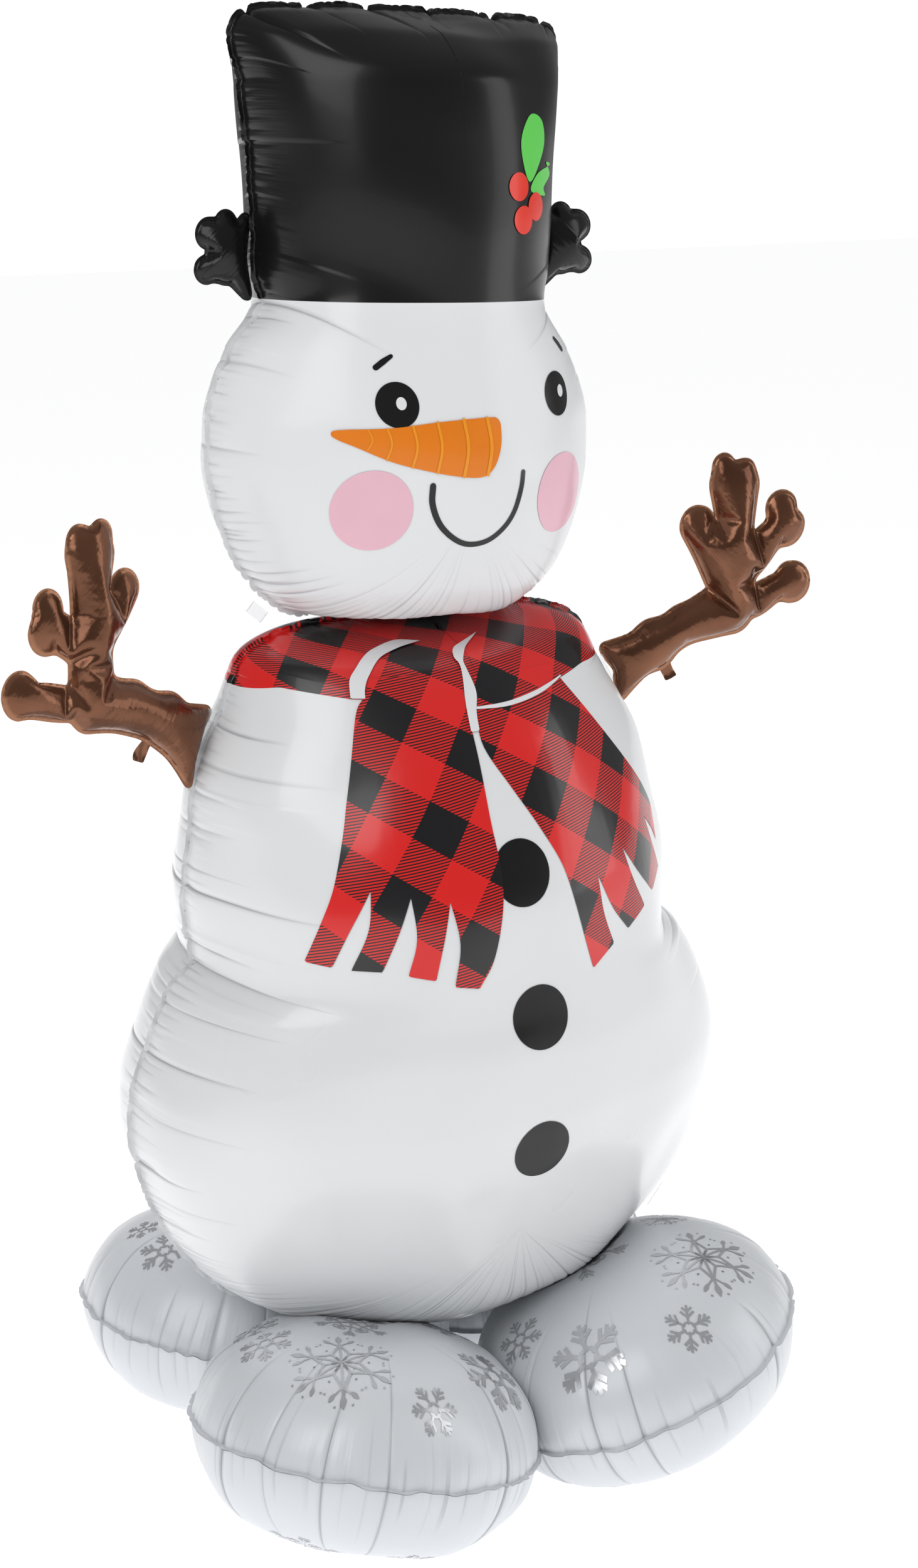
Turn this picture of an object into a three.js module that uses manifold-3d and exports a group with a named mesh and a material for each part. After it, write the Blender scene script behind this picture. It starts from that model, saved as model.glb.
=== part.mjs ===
// Air-filled foil snowman for a yard or a hall. It stands on four round foil pouches.
// Every chamber is two sheets of foil heat-sealed together round their edge, so a chamber is
// modelled as two thin shells that meet face to face in a flat seam.
// Millimetres, +Z up, the face looks along -Y. The origin is on the floor, under the middle.

import * as THREE from 'three';
import { mergeVertices } from 'three/addons/utils/BufferGeometryUtils.js';
import Module from 'manifold-3d';

const wasm = await Module();
wasm.setup();

// ---------------------------------------------------------------- driving dimensions

const FILM = 1;               // thickness that a sheet is drawn with
const SEAM_WIDTH = 6;         // flat sealed edge outside the air space
const SEAM_GAP = 0.3;         // line of air between the two sheets of a seam
const CONTACT_GAP = 0.3;      // between pieces that touch
const FAR = 3000;             // size of the blocks used to split and trim

// Chambers of the figure: half width at the outer edge of the seam, half depth, height.
const BODY_ROWS = [
  [0, 0, 156], [130, 88, 166], [216, 147, 200], [268, 174, 250], [310, 208, 335], [321, 233, 395],
  [318, 241, 431], [299, 239, 485], [276, 232, 531], [248, 229, 558], [254, 224, 622], [244, 206, 690],
  [236, 187, 737], [206, 149, 800], [182, 104, 848], [110, 42, 869], [0, 0, 873],
];
const HEAD_ROWS = [
  [0, 0, 877], [118, 78, 882], [145, 98, 900], [174, 129, 940], [189, 148, 980], [196, 153, 1023],
  [196, 151, 1058], [187, 145, 1092], [173, 138, 1120], [142, 130, 1168], [148, 130, 1195],
  [151, 131, 1280], [159, 126, 1355], [166, 92, 1395], [160, 40, 1412], [0, 0, 1419],
];
const FIGURE_SIDES = 20;
const HEAD_TILT = THREE.MathUtils.degToRad(2);  // sideways, about a point in the hat
const HEAD_TILT_HEIGHT = 1349;

// Flat clear strips: width and height, place in the seam plane, lean in radians.
const NECK_STRIP = [120, 1.4];
const NECK_STRIP_HEIGHT = 874.1;
const BODY_TAIL = [46, 30];
const BODY_TAIL_PLACE = [262, 204];
const BODY_TAIL_LEAN = 0.7;
const HEAD_TAIL = [18, 12];
const HEAD_TAIL_PLACE = [-146, 882];
const HEAD_TAIL_LEAN = 0.7;

// Arms: each limb runs in the arm's own plane, u outwards and z up, with a half width at each end.
const ARM_ROOT_X = 222;       // where the arm's plane leaves the body's side seam
const ARM_FORWARD = THREE.MathUtils.degToRad(15);
const LIMB_DEPTH = 0.74;      // half depth of a limb over its half width
const LIMB_SIDES = 8;
const LIMBS = [
  { from: [9, 777], to: [70, 812], start: 34, end: 23, startCap: 12, endCap: 8 },
  { from: [58, 806], to: [128, 846], start: 23, end: 30, startCap: 8, endCap: 22 },
  { from: [124, 828], to: [129, 998], start: 26, end: 21, startCap: 18, endCap: 17 },
  { from: [118, 884], to: [80, 946], start: 14, end: 11, startCap: 10, endCap: 10 },
  { from: [136, 884], to: [203, 932], start: 20, end: 16, startCap: 14, endCap: 14 },
  { from: [128, 840], to: [213, 850], start: 23, end: 16, startCap: 18, endCap: 14 },
];
const ARM_ROOT_LEAN = THREE.MathUtils.degToRad(26);  // root seam from upright
const ROOT_TAB = [9, 52];
const ROOT_TAB_PLACE = [222.6, 777];
const ARM_TAIL = [12, 22];
const ARM_TAIL_PLACE = [73, 766.5];
const ARM_TAIL_LEAN = 0.72;

// Lobes of the hat's brim, one on each side seam, in the figure's own plane.
const BRIM_LIMBS = [
  { from: [150.4, 1207], to: [178, 1205], start: 38, end: 27, startCap: 10, endCap: 14 },
  { from: [158, 1214], to: [186, 1221], start: 30, end: 24, startCap: 12, endCap: 15 },
];
const BRIM_DEPTH = 0.5;

// Base pouches: disc balloons, wedged against each other under the body.
const POUCH_RADIUS = 171;     // to the outer edge of the seam
const POUCH_SPREAD = 154;     // centre of each pouch from the middle, along X and along Y
const POUCH_SIDES = 18;
const POUCH_STEPS = 4;        // rows from the seam to the crown
const FLOOR_FLAT = 3;         // how deep the floor flattens a pouch
const POUCHES = [
  { name: 'front_left', x: -1, y: -1, lift: 16, lean: -5.6 },
  { name: 'front_right', x: 1, y: -1, lift: 18.7, lean: 8 },
  { name: 'back_left', x: -1, y: 1, lift: 6, lean: 10 },
  { name: 'back_right', x: 1, y: 1, lift: 10, lean: 0 },
];

const WEB_HEIGHT = 64;        // foil web that joins the pouches
const WEB_CLEARANCE = 13;     // web's edge to the pouches' circles
const TAB_THICKNESS = 2;
const WEB_TAB_WIDTH = 18;
const WEB_TAB_TRIM = 5.2;     // tab is shorter than the gap it crosses by this much

// ---------------------------------------------------------------- materials

function foil(color, roughness, metalness) {
  return new THREE.MeshStandardMaterial({ color, roughness, metalness });
}

const WHITE_FOIL = foil(0xe9ecf0, 0.28, 0.1);
const BLACK_FOIL = foil(0x121214, 0.2, 0.1);
const BROWN_FOIL = foil(0x6b4630, 0.3, 0.8);
const PEARL_FOIL = foil(0xd9dbe0, 0.32, 0.3);
const CLEAR_FILM = foil(0xc9ccd2, 0.25, 0.0);

// ---------------------------------------------------------------- solids

function toSolid(geometry) {
  const plain = geometry.clone();
  plain.deleteAttribute('normal');
  plain.deleteAttribute('uv');
  const merged = mergeVertices(plain, 1e-4);
  const position = merged.attributes.position;
  const corners = [0, 1, 2].map(() => new THREE.Vector3());
  const triangles = [];
  let volume = 0;
  for (let i = 0; i < merged.index.count; i += 3) {
    const ids = [0, 1, 2].map((k) => merged.index.getX(i + k));
    if (new Set(ids).size === 3) {
      ids.forEach((id, k) => corners[k].fromBufferAttribute(position, id));
      volume += corners[0].dot(corners[1].clone().cross(corners[2]));
      triangles.push(ids);
    }
  }
  const facingOut = volume > 0 ? triangles : triangles.map(([a, b, c]) => [a, c, b]);
  return new wasm.Manifold(new wasm.Mesh({
    numProp: 3,
    vertProperties: new Float32Array(position.array),
    triVerts: new Uint32Array(facingOut.flat()),
  }));
}

function toGeometry(solid) {
  const mesh = solid.getMesh();
  const geometry = new THREE.BufferGeometry();
  geometry.setAttribute('position', new THREE.BufferAttribute(new Float32Array(mesh.vertProperties), 3));
  geometry.setIndex(new THREE.BufferAttribute(new Uint32Array(mesh.triVerts), 1));
  geometry.computeVertexNormals();
  return geometry;
}

function block(lower, upper, placement = new THREE.Matrix4()) {
  const size = upper.clone().sub(lower);
  const middle = upper.clone().add(lower).multiplyScalar(0.5);
  const geometry = new THREE.BoxGeometry(size.x, size.y, size.z);
  geometry.translate(middle.x, middle.y, middle.z);
  geometry.applyMatrix4(placement);
  return toSolid(geometry);
}

// Closed chamber shape. Each row is [half width, half depth, height]; the first and last rows are
// points. The seam outline is drawn in by edgeInset, and the two bulging sides by depthInset.
function chamber(rows, sides, edgeInset, depthInset) {
  const moved = rows.map(([width, depth, height], i) => {
    const below = rows[Math.max(i - 1, 0)];
    const above = rows[Math.min(i + 1, rows.length - 1)];
    const outward = new THREE.Vector2(above[2] - below[2], below[0] - above[0]).normalize();
    const isPoint = i === 0 || i === rows.length - 1;
    return {
      width: isPoint ? 0 : width - edgeInset * outward.x,
      depth: isPoint ? 0 : depth - depthInset,
      height: isPoint ? height + edgeInset * (i === 0 ? 1 : -1) : height - edgeInset * outward.y,
    };
  });
  const geometry = new THREE.LatheGeometry(moved.map((r) => new THREE.Vector2(r.width, r.height)), sides);
  const position = geometry.attributes.position;
  for (let i = 0; i < position.count; i += 1) {
    const row = moved[i % moved.length];
    const flatten = row.width > 0 ? row.depth / row.width : 0;
    position.setXYZ(i, position.getX(i), -position.getZ(i) * flatten, position.getY(i));
  }
  return geometry;
}

// The two sheets of a chamber that lies in the plane y = 0: front towards -Y, back towards +Y.
function sheetPair(outer, inner, outline) {
  const halfSeam = FILM + SEAM_GAP / 2;
  const slab = block(new THREE.Vector3(-FAR, -halfSeam, -FAR), new THREE.Vector3(FAR, halfSeam, FAR));
  const shell = outer.add(outline.intersect(slab)).subtract(inner);
  const front = block(new THREE.Vector3(-FAR, -FAR, -FAR), new THREE.Vector3(FAR, -SEAM_GAP / 2, FAR));
  const back = block(new THREE.Vector3(-FAR, SEAM_GAP / 2, -FAR), new THREE.Vector3(FAR, FAR, FAR));
  return { front: shell.intersect(front), back: shell.intersect(back) };
}

function chamberSheets(rows, sides) {
  return sheetPair(
    toSolid(chamber(rows, sides, SEAM_WIDTH, 0)),
    toSolid(chamber(rows, sides, SEAM_WIDTH + FILM, FILM)),
    toSolid(chamber(rows, sides, 0, 0)),
  );
}

// Rows of a tapered limb along its own length, with an elliptical cap at each end.
function limbRows(length, limb, depthRatio, edgeInset, depthInset) {
  const capSteps = 2;
  const endRows = (halfWidth, capLength, heightAt) => {
    const width = halfWidth - edgeInset;
    const depth = (halfWidth - SEAM_WIDTH) * depthRatio - depthInset;
    return Array.from({ length: capSteps + 1 }, (_, i) => {
      const turn = (i / capSteps) * (Math.PI / 2);
      const reach = edgeInset + (capLength - edgeInset) * (1 - Math.cos(turn));
      return [width * Math.sin(turn), depth * Math.sin(turn), heightAt(reach)];
    });
  };
  const lower = endRows(limb.start, limb.startCap, (reach) => reach);
  const upper = endRows(limb.end, limb.endCap, (reach) => length - reach).reverse();
  return [...lower, ...upper];
}

// Union of limbs in the plane y = 0; side is 1 for the right-hand arm and -1 for its mirror image.
function limbUnion(limbs, side, depthRatio, edgeInset, depthInset) {
  const solids = limbs.map((limb) => {
    const from = new THREE.Vector3(side * limb.from[0], 0, limb.from[1]);
    const to = new THREE.Vector3(side * limb.to[0], 0, limb.to[1]);
    const along = to.clone().sub(from);
    const rows = limbRows(along.length(), limb, depthRatio, edgeInset, depthInset);
    const geometry = chamber(rows, LIMB_SIDES, 0, 0);
    geometry.rotateY(Math.atan2(along.x, along.z));
    geometry.translate(from.x, from.y, from.z);
    return toSolid(geometry);
  });
  return solids.reduce((joined, solid) => joined.add(solid));
}

function limbSheets(limbs, side, depthRatio) {
  return sheetPair(
    limbUnion(limbs, side, depthRatio, SEAM_WIDTH, 0),
    limbUnion(limbs, side, depthRatio, SEAM_WIDTH + FILM, FILM),
    limbUnion(limbs, side, depthRatio, 0, 0),
  );
}

// ---------------------------------------------------------------- scene graph

const snowman = new THREE.Group();

function addMesh(parent, name, geometry, material) {
  const mesh = new THREE.Mesh(geometry, material);
  mesh.name = name;
  parent.add(mesh);
  return mesh;
}

function addSheets(parent, name, sheets, material) {
  addMesh(parent, `${name}_front_panel`, toGeometry(sheets.front), material);
  addMesh(parent, `${name}_back_panel`, toGeometry(sheets.back), material);
}

// Flat strip in the plane y = 0, such as a weld tab or the tail of a self-sealing valve.
function addStrip(parent, name, size, place, lean, material) {
  const strip = addMesh(parent, name, new THREE.BoxGeometry(size[0], TAB_THICKNESS, size[1]), material);
  strip.position.set(place[0], 0, place[1]);
  strip.rotation.y = lean;
  return strip;
}

function addBody() {
  addSheets(snowman, 'body', chamberSheets(BODY_ROWS, FIGURE_SIDES), WHITE_FOIL);
  addStrip(snowman, 'neck_weld_strip', NECK_STRIP, [0, NECK_STRIP_HEIGHT], 0, CLEAR_FILM);
  addStrip(snowman, 'body_inflation_tail', BODY_TAIL, BODY_TAIL_PLACE, BODY_TAIL_LEAN, CLEAR_FILM);
}

// The head and the hat are one chamber. It stands a little askew on the body.
function addHead() {
  const head = new THREE.Group();
  head.rotation.y = HEAD_TILT;
  head.position.set(
    -HEAD_TILT_HEIGHT * Math.sin(HEAD_TILT),
    0,
    HEAD_TILT_HEIGHT * (1 - Math.cos(HEAD_TILT)),
  );
  snowman.add(head);
  addSheets(head, 'head', chamberSheets(HEAD_ROWS, FIGURE_SIDES), WHITE_FOIL);
  addStrip(head, 'head_inflation_tail', HEAD_TAIL, HEAD_TAIL_PLACE, HEAD_TAIL_LEAN, CLEAR_FILM);
  addSheets(head, 'right_brim', limbSheets(BRIM_LIMBS, 1, BRIM_DEPTH), BLACK_FOIL);
  addSheets(head, 'left_brim', limbSheets(BRIM_LIMBS, -1, BRIM_DEPTH), BLACK_FOIL);
}

function addArm(side, name) {
  const arm = new THREE.Group();
  arm.position.x = side * ARM_ROOT_X;
  arm.rotation.z = -side * ARM_FORWARD;
  snowman.add(arm);
  addSheets(arm, name, limbSheets(LIMBS, side, LIMB_DEPTH), BROWN_FOIL);
  const tailPlace = [side * ARM_TAIL_PLACE[0], ARM_TAIL_PLACE[1]];
  addStrip(arm, `${name}_inflation_tail`, ARM_TAIL, tailPlace, -side * ARM_TAIL_LEAN, BROWN_FOIL);
  const tabPlace = [side * ROOT_TAB_PLACE[0], ROOT_TAB_PLACE[1]];
  addStrip(snowman, `${name}_root_tab`, ROOT_TAB, tabPlace, -side * ARM_ROOT_LEAN, CLEAR_FILM);
}

// ---------------------------------------------------------------- base

// Side profile of a disc balloon, from its crown to its foot: the shape that two flat round sheets
// take when they are sealed together and filled.
function discRows(radius) {
  const rows = [];
  const fineSteps = 12;
  let rise = 0;
  for (let i = 0; i <= POUCH_STEPS; i += 1) {
    const turn = (i / POUCH_STEPS) * Math.PI / 2;
    rows.push([radius * Math.cos(turn), rise]);
    for (let k = 0; k < fineSteps; k += 1) {
      const c = Math.cos(turn + ((k + 0.5) / fineSteps) * (Math.PI / 2 / POUCH_STEPS));
      rise += (radius * c * c / Math.sqrt(1 + c * c)) * (Math.PI / 2 / POUCH_STEPS / fineSteps);
    }
  }
  rows[POUCH_STEPS][0] = 0;
  const below = rows.slice(1).map(([r, z]) => [r, -z]).reverse();
  return [...below, ...rows];
}

function disc(radius) {
  const profile = discRows(radius).map(([r, z]) => new THREE.Vector2(r, z));
  const geometry = new THREE.LatheGeometry(profile, POUCH_SIDES);
  geometry.rotateX(Math.PI / 2);
  return geometry;
}

// Where a pouch lies: its inner edge points at the middle, its outer edge is lifted, and it leans
// about the line to the middle. It is let down until the floor flattens its foot.
function pouchPlacement(pouch) {
  const outward = new THREE.Vector3(pouch.x, pouch.y, 0).normalize();
  const across = new THREE.Vector3(0, 0, 1).cross(outward);
  const turn = new THREE.Matrix4().makeRotationAxis(across, -THREE.MathUtils.degToRad(pouch.lift));
  turn.premultiply(new THREE.Matrix4().makeRotationAxis(outward, THREE.MathUtils.degToRad(pouch.lean)));
  const settled = disc(POUCH_RADIUS - SEAM_WIDTH).applyMatrix4(turn);
  settled.computeBoundingBox();
  const height = -settled.boundingBox.min.z - FLOOR_FLAT;
  const place = new THREE.Matrix4();
  place.makeTranslation(pouch.x * POUCH_SPREAD, pouch.y * POUCH_SPREAD, height);
  return place.multiply(turn);
}

// The quarter of the base that a pouch may fill: its neighbours, the body and the floor bound it.
function pouchRoom(pouch, inset) {
  const side = CONTACT_GAP + FILM + SEAM_GAP / 2 + inset;
  const low = new THREE.Vector3(pouch.x > 0 ? side : -FAR, pouch.y > 0 ? side : -FAR, inset);
  const high = new THREE.Vector3(pouch.x > 0 ? FAR : -side, pouch.y > 0 ? FAR : -side, FAR);
  const room = block(low, high);
  const bodyGap = CONTACT_GAP + inset;
  return room.subtract(toSolid(chamber(BODY_ROWS, FIGURE_SIDES, SEAM_WIDTH - bodyGap, -bodyGap)));
}

function addPouch(pouch) {
  const placement = pouchPlacement(pouch);
  const halfSeam = FILM + SEAM_GAP / 2;
  const outer = toSolid(disc(POUCH_RADIUS - SEAM_WIDTH).applyMatrix4(placement));
  const inner = toSolid(disc(POUCH_RADIUS - SEAM_WIDTH - FILM).applyMatrix4(placement));
  const edge = new THREE.CylinderGeometry(POUCH_RADIUS, POUCH_RADIUS, 2 * halfSeam, POUCH_SIDES);
  edge.rotateX(Math.PI / 2);
  const flange = toSolid(edge.applyMatrix4(placement));
  const shell = outer.add(flange).intersect(pouchRoom(pouch, 0))
    .subtract(inner.intersect(pouchRoom(pouch, FILM)));
  const above = block(new THREE.Vector3(-FAR, -FAR, SEAM_GAP / 2), new THREE.Vector3(FAR, FAR, FAR), placement);
  const below = block(new THREE.Vector3(-FAR, -FAR, -FAR), new THREE.Vector3(FAR, FAR, -SEAM_GAP / 2), placement);
  addMesh(snowman, `${pouch.name}_pouch_upper_panel`, toGeometry(shell.intersect(above)), PEARL_FOIL);
  addMesh(snowman, `${pouch.name}_pouch_lower_panel`, toGeometry(shell.intersect(below)), PEARL_FOIL);
  addWebTab(pouch, placement);
}

// Short strip that welds a pouch's inner edge to the web.
function addWebTab(pouch, placement) {
  const diagonal = Math.hypot(POUCH_SPREAD, POUCH_SPREAD);
  const webEdge = diagonal - POUCH_RADIUS - WEB_CLEARANCE + TAB_THICKNESS;
  const outward = new THREE.Vector3(pouch.x, pouch.y, 0).normalize();
  const inward = outward.clone().negate().applyMatrix4(new THREE.Matrix4().extractRotation(placement));
  const pouchEdge = inward.multiplyScalar(POUCH_RADIUS).add(new THREE.Vector3().setFromMatrixPosition(placement));
  const start = outward.clone().multiplyScalar(webEdge);
  start.z = WEB_HEIGHT;
  const along = pouchEdge.sub(start);
  const length = along.length() - WEB_TAB_TRIM;
  const tab = addMesh(
    snowman,
    `${pouch.name}_pouch_weld_tab`,
    new THREE.BoxGeometry(length, WEB_TAB_WIDTH, TAB_THICKNESS),
    CLEAR_FILM,
  );
  const direction = along.clone().normalize();
  const across = new THREE.Vector3(0, 0, 1).cross(outward);
  const upward = direction.clone().cross(across);
  tab.quaternion.setFromRotationMatrix(new THREE.Matrix4().makeBasis(direction, across, upward));
  tab.position.copy(start).addScaledVector(along, 0.5);
}

// Web: the scrap of foil left between four circles, with hollow sides.
function addWeb() {
  const radius = POUCH_RADIUS + WEB_CLEARANCE;
  const reach = POUCH_SPREAD - Math.sqrt(radius ** 2 - POUCH_SPREAD ** 2);
  const sweep = Math.atan2(POUCH_SPREAD, POUCH_SPREAD - reach);
  const shape = new THREE.Shape();
  shape.moveTo(reach, 0);
  for (const quarter of [0, 1, 2, 3]) {
    const turn = (quarter * Math.PI) / 2;
    const x = POUCH_SPREAD * Math.SQRT2 * Math.cos(turn + Math.PI / 4);
    const y = POUCH_SPREAD * Math.SQRT2 * Math.sin(turn + Math.PI / 4);
    shape.absarc(x, y, radius, turn + Math.PI + sweep, turn + Math.PI * 1.5 - sweep, true);
  }
  const geometry = new THREE.ExtrudeGeometry(shape, {
    depth: TAB_THICKNESS,
    bevelEnabled: false,
    curveSegments: 4,
  });
  const web = addMesh(snowman, 'base_web', geometry, PEARL_FOIL);
  web.position.z = WEB_HEIGHT - TAB_THICKNESS / 2;
}

function addBase() {
  POUCHES.forEach(addPouch);
  addWeb();
  const tieFoot = WEB_HEIGHT + TAB_THICKNESS / 2 + CONTACT_GAP;
  const tieHead = BODY_ROWS[0][2] - CONTACT_GAP;
  addStrip(snowman, 'body_base_tab', [40, tieHead - tieFoot], [0, (tieHead + tieFoot) / 2], 0, CLEAR_FILM);
}

addBody();
addHead();
addArm(1, 'right_arm');
addArm(-1, 'left_arm');
addBase();

export default snowman;
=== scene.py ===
"""Air-filled foil snowman on four round pouches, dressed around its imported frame.

Every chamber is two sheets of film sealed round their edge. The body, the head and the pouches are
smooth sheets with creases that run in from the seam. The arms and the hat's brim lobes start as flat
patterns and are blown up by a small cloth solver. Prints are thin pieces laid on the film.
Metres, +Z up, the face looks along -Y.
"""

import math

import bmesh
import bpy
import numpy as np
from mathutils import Matrix, Vector
from mathutils.bvhtree import BVHTree
from mathutils.geometry import delaunay_2d_cdt


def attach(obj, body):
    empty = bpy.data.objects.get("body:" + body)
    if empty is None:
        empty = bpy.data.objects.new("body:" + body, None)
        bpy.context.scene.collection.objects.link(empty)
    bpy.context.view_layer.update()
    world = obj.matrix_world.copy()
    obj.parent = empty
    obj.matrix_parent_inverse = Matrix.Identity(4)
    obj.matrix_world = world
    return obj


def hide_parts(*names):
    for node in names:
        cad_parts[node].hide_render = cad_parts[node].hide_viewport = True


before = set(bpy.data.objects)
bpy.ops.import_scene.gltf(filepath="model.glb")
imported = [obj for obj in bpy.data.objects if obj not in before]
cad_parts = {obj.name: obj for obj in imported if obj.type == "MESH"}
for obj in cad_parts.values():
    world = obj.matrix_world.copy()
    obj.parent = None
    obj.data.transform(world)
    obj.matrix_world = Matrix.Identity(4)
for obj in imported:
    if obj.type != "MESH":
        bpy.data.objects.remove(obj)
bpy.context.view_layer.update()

# ---------------------------------------------------------------- sizes

FLANGE = .0045           # flat sealed edge outside the air space
LIMB_FLANGE = .0032      # the same on the arms and the brim lobes
LIFT = .0005             # print above the film it lies on
SOFT_MIDDLE = .065       # height over which a notch in the outline fades out towards the middle
FOLD = .0017             # half width of the sharp bottom of a crease
FOLD_LINE = .0007        # half width of the painted shade line in it
HARD_FOLD = .0024        # depth of a crease whose film is folded hard; from this depth on, its painted shade line is at full strength
PRINT_BLUR = .0002       # half width of the soft edge of the scarf and of the hat's black
GATHER_SCALE = (150, 7, 1)   # fineness of the gathers, along the seam and in from it
TURN = 2 * math.pi

# Chambers of the figure: half width at the seam, half depth, height.
BODY_ROWS = (
    (0, 0, .156), (.124, .088, .166), (.210, .147, .200), (.262, .174, .250), (.304, .208, .335),
    (.315, .233, .395), (.312, .241, .431), (.293, .239, .485), (.270, .232, .531), (.242, .229, .558),
    (.248, .224, .622), (.238, .206, .690), (.230, .187, .737), (.200, .149, .800), (.176, .104, .848),
    (.104, .042, .869), (0, 0, .873),
)
HEAD_ROWS = (
    (0, 0, .877), (.108, .096, .882), (.137, .119, .900), (.168, .140, .940), (.183, .151, .980),
    (.190, .153, 1.023), (.190, .151, 1.058), (.181, .145, 1.092), (.167, .138, 1.120), (.136, .130, 1.168),
    (.142, .130, 1.195), (.145, .131, 1.280), (.153, .126, 1.355), (.160, .092, 1.395), (.154, .040, 1.412),
    (0, 0, 1.419),
)
# Height on the seam where a crease starts, and height on the middle line where it would end.
BODY_CORE = ((.300, .300), (.558, .505), (.790, .790))
HEAD_CORE = ((.985, .985), (1.165, 1.077), (1.300, 1.300))
HAT_EDGE = 1.168             # where the black of the hat starts
HEAD_TILT = math.radians(2)  # sideways, about a point in the hat
HEAD_TILT_HEIGHT = 1.349

POUCH_RADIUS = .171          # to the outer edge of the seam
POUCH_SPREAD = .154          # centre of each pouch from the middle, along X and along Y
FLOOR_FLAT = .003            # how deep the floor flattens a pouch
POUCH_GAP = .0013            # from a pouch to the plane between it and its neighbour
POUCHES = {                  # side along X and Y, lift of the outer edge, lean
    "front_left": (-1, -1, 16, -5.6),
    "front_right": (1, -1, 18.7, 8),
    "back_left": (-1, 1, 6, 10),
    "back_right": (1, 1, 10, 0),
}

# Flat patterns of the filled limbs: start, end and half width at each, in the chamber's own plane.
# The root is the straight edge that is welded to the body or to the hat. Filling draws a pattern in,
# and the box is what it fills then.
ARM_ROOT_X = .222
ARM_FORWARD = math.radians(15)
LEFT_ARM = {
    "limbs": (
        ((-.004, .763), (.038, .796), .038, .033), ((.038, .796), (.076, .817), .033, .031),
        ((.076, .817), (.122, .834), .031, .032), ((.122, .836), (.1195, .9640), .0305, .0305),
        ((.1085, .975), (.1075, .983), .016, .014), ((.130, .972), (.1315, .979), .0165, .014),
        ((.150, .893), (.176, .906), .018, .018), ((.180, .899), (.181, .919), .019, .016),
        ((.156, .834), (.207, .842), .016, .021),
        ((.098, .888), (.071, .932), .010, .016),
    ),
    "root": ((-.022, .797), (.014, .729)),
    "box": ((-.012, .729), (.214, .9926)),
}
RIGHT_ARM = {
    "limbs": (
        ((-.006, .778), (.044, .808), .031, .031), ((.044, .808), (.074, .827), .031, .027),
        ((.074, .827), (.128, .850), .027, .033), ((.136, .856), (.1405, .970), .0310, .0305),
        ((.129, .982), (.131, .993), .016, .014), ((.153, .980), (.154, .987), .015, .012),
        ((.108, .885), (.091, .934), .016, .021), ((.160, .896), (.198, .921), .021, .018), ((.209, .924),
                                                                                             (.210, .937),
                                                                                             .024, .019),
        ((.164, .850), (.192, .856), .0165, .016), ((.209, .856), (.211, .8555), .0205, .0200),
    ),
    "root": ((-.020, .806), (.008, .748)),
    "box": ((-.010, .750), (.219, 1.001)),
}
TAIL_SIZE = (.012, .021)     # width and length of the filling valve's tail on an arm
LEFT_TAIL = (.064, .783)     # where the tail leaves the forearm
RIGHT_TAIL = (.060, .789)
LEFT_BRIM = {
    "limbs": (
        ((.146, 1.208), (.168, 1.208), .040, .031), ((.166, 1.218), (.186, 1.229), .024, .018),
        ((.172, 1.203), (.191, 1.195), .020, .015), ((.168, 1.226), (.170, 1.240), .017, .013),
    ),
    "root": ((.1425, 1.252), (.1425, 1.164)),
    "box": ((.1465, 1.166), (.203, 1.247)),
}
RIGHT_BRIM = {**LEFT_BRIM, "box": ((.1465, 1.174), (.212, 1.257))}


# ---------------------------------------------------------------- curves

def between(ends, share):
    """The number that lies that share of the way from one end to the other."""
    return ends[0] + (ends[1] - ends[0]) * share


def monotone(knots, values, at):
    """Smooth curve through the values that makes no bump of its own between them."""
    step = np.diff(knots)[:, None]
    slope = np.diff(values, axis=0) / step
    before, after = slope[:-1], slope[1:]
    same_way = before * after > 0
    steep = np.where(same_way, 2 * before * after / np.where(same_way, before + after, 1), 0)
    steep = np.vstack([slope[:1], steep, slope[-1:]])
    i = np.clip(np.searchsorted(knots, at) - 1, 0, len(step) - 1)
    t = ((at - knots[i]) / step[i, 0])[:, None]
    width = step[i]
    return (
        (1 + 2 * t) * (1 - t) ** 2 * values[i] + t * (1 - t) ** 2 * width * steep[i]
        + t * t * (3 - 2 * t) * values[i + 1] + t * t * (t - 1) * width * steep[i + 1]
    )


def catmull(points, closed=True, steps=12):
    """Smooth curve through points."""
    p = np.asarray(points, float)
    ends = (p[-1:], p[:2]) if closed else (2 * p[:1] - p[1:2], 2 * p[-1:] - p[-2:-1])
    p = np.vstack([ends[0], p, ends[1]])
    t = np.linspace(0, 1, steps, endpoint=False)[:, None]
    curve = [
        .5 * (2 * b + (c - a) * t + (2 * a - 5 * b + 4 * c - d) * t ** 2 + (3 * b - a - 3 * c + d) * t ** 3)
        for a, b, c, d in zip(p, p[1:], p[2:], p[3:])
    ]
    return np.vstack(curve if closed else [*curve, p[-2:-1]])


def lengths_along(points):
    """Distance of each point from the first, along the line."""
    return np.concatenate([[0], np.cumsum(np.linalg.norm(np.diff(points, axis=0), axis=1))])


def respaced(points, step, closed=True):
    """The same line with points about a step apart."""
    line = np.vstack([points, points[:1]]) if closed else np.asarray(points, float)
    along = lengths_along(line)
    count = max(6, round(along[-1] / step))
    at = np.linspace(0, along[-1], count, endpoint=not closed)
    return np.stack([np.interp(at, along, line[:, k]) for k in range(line.shape[1])], -1)


# ---------------------------------------------------------------- pieces

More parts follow.
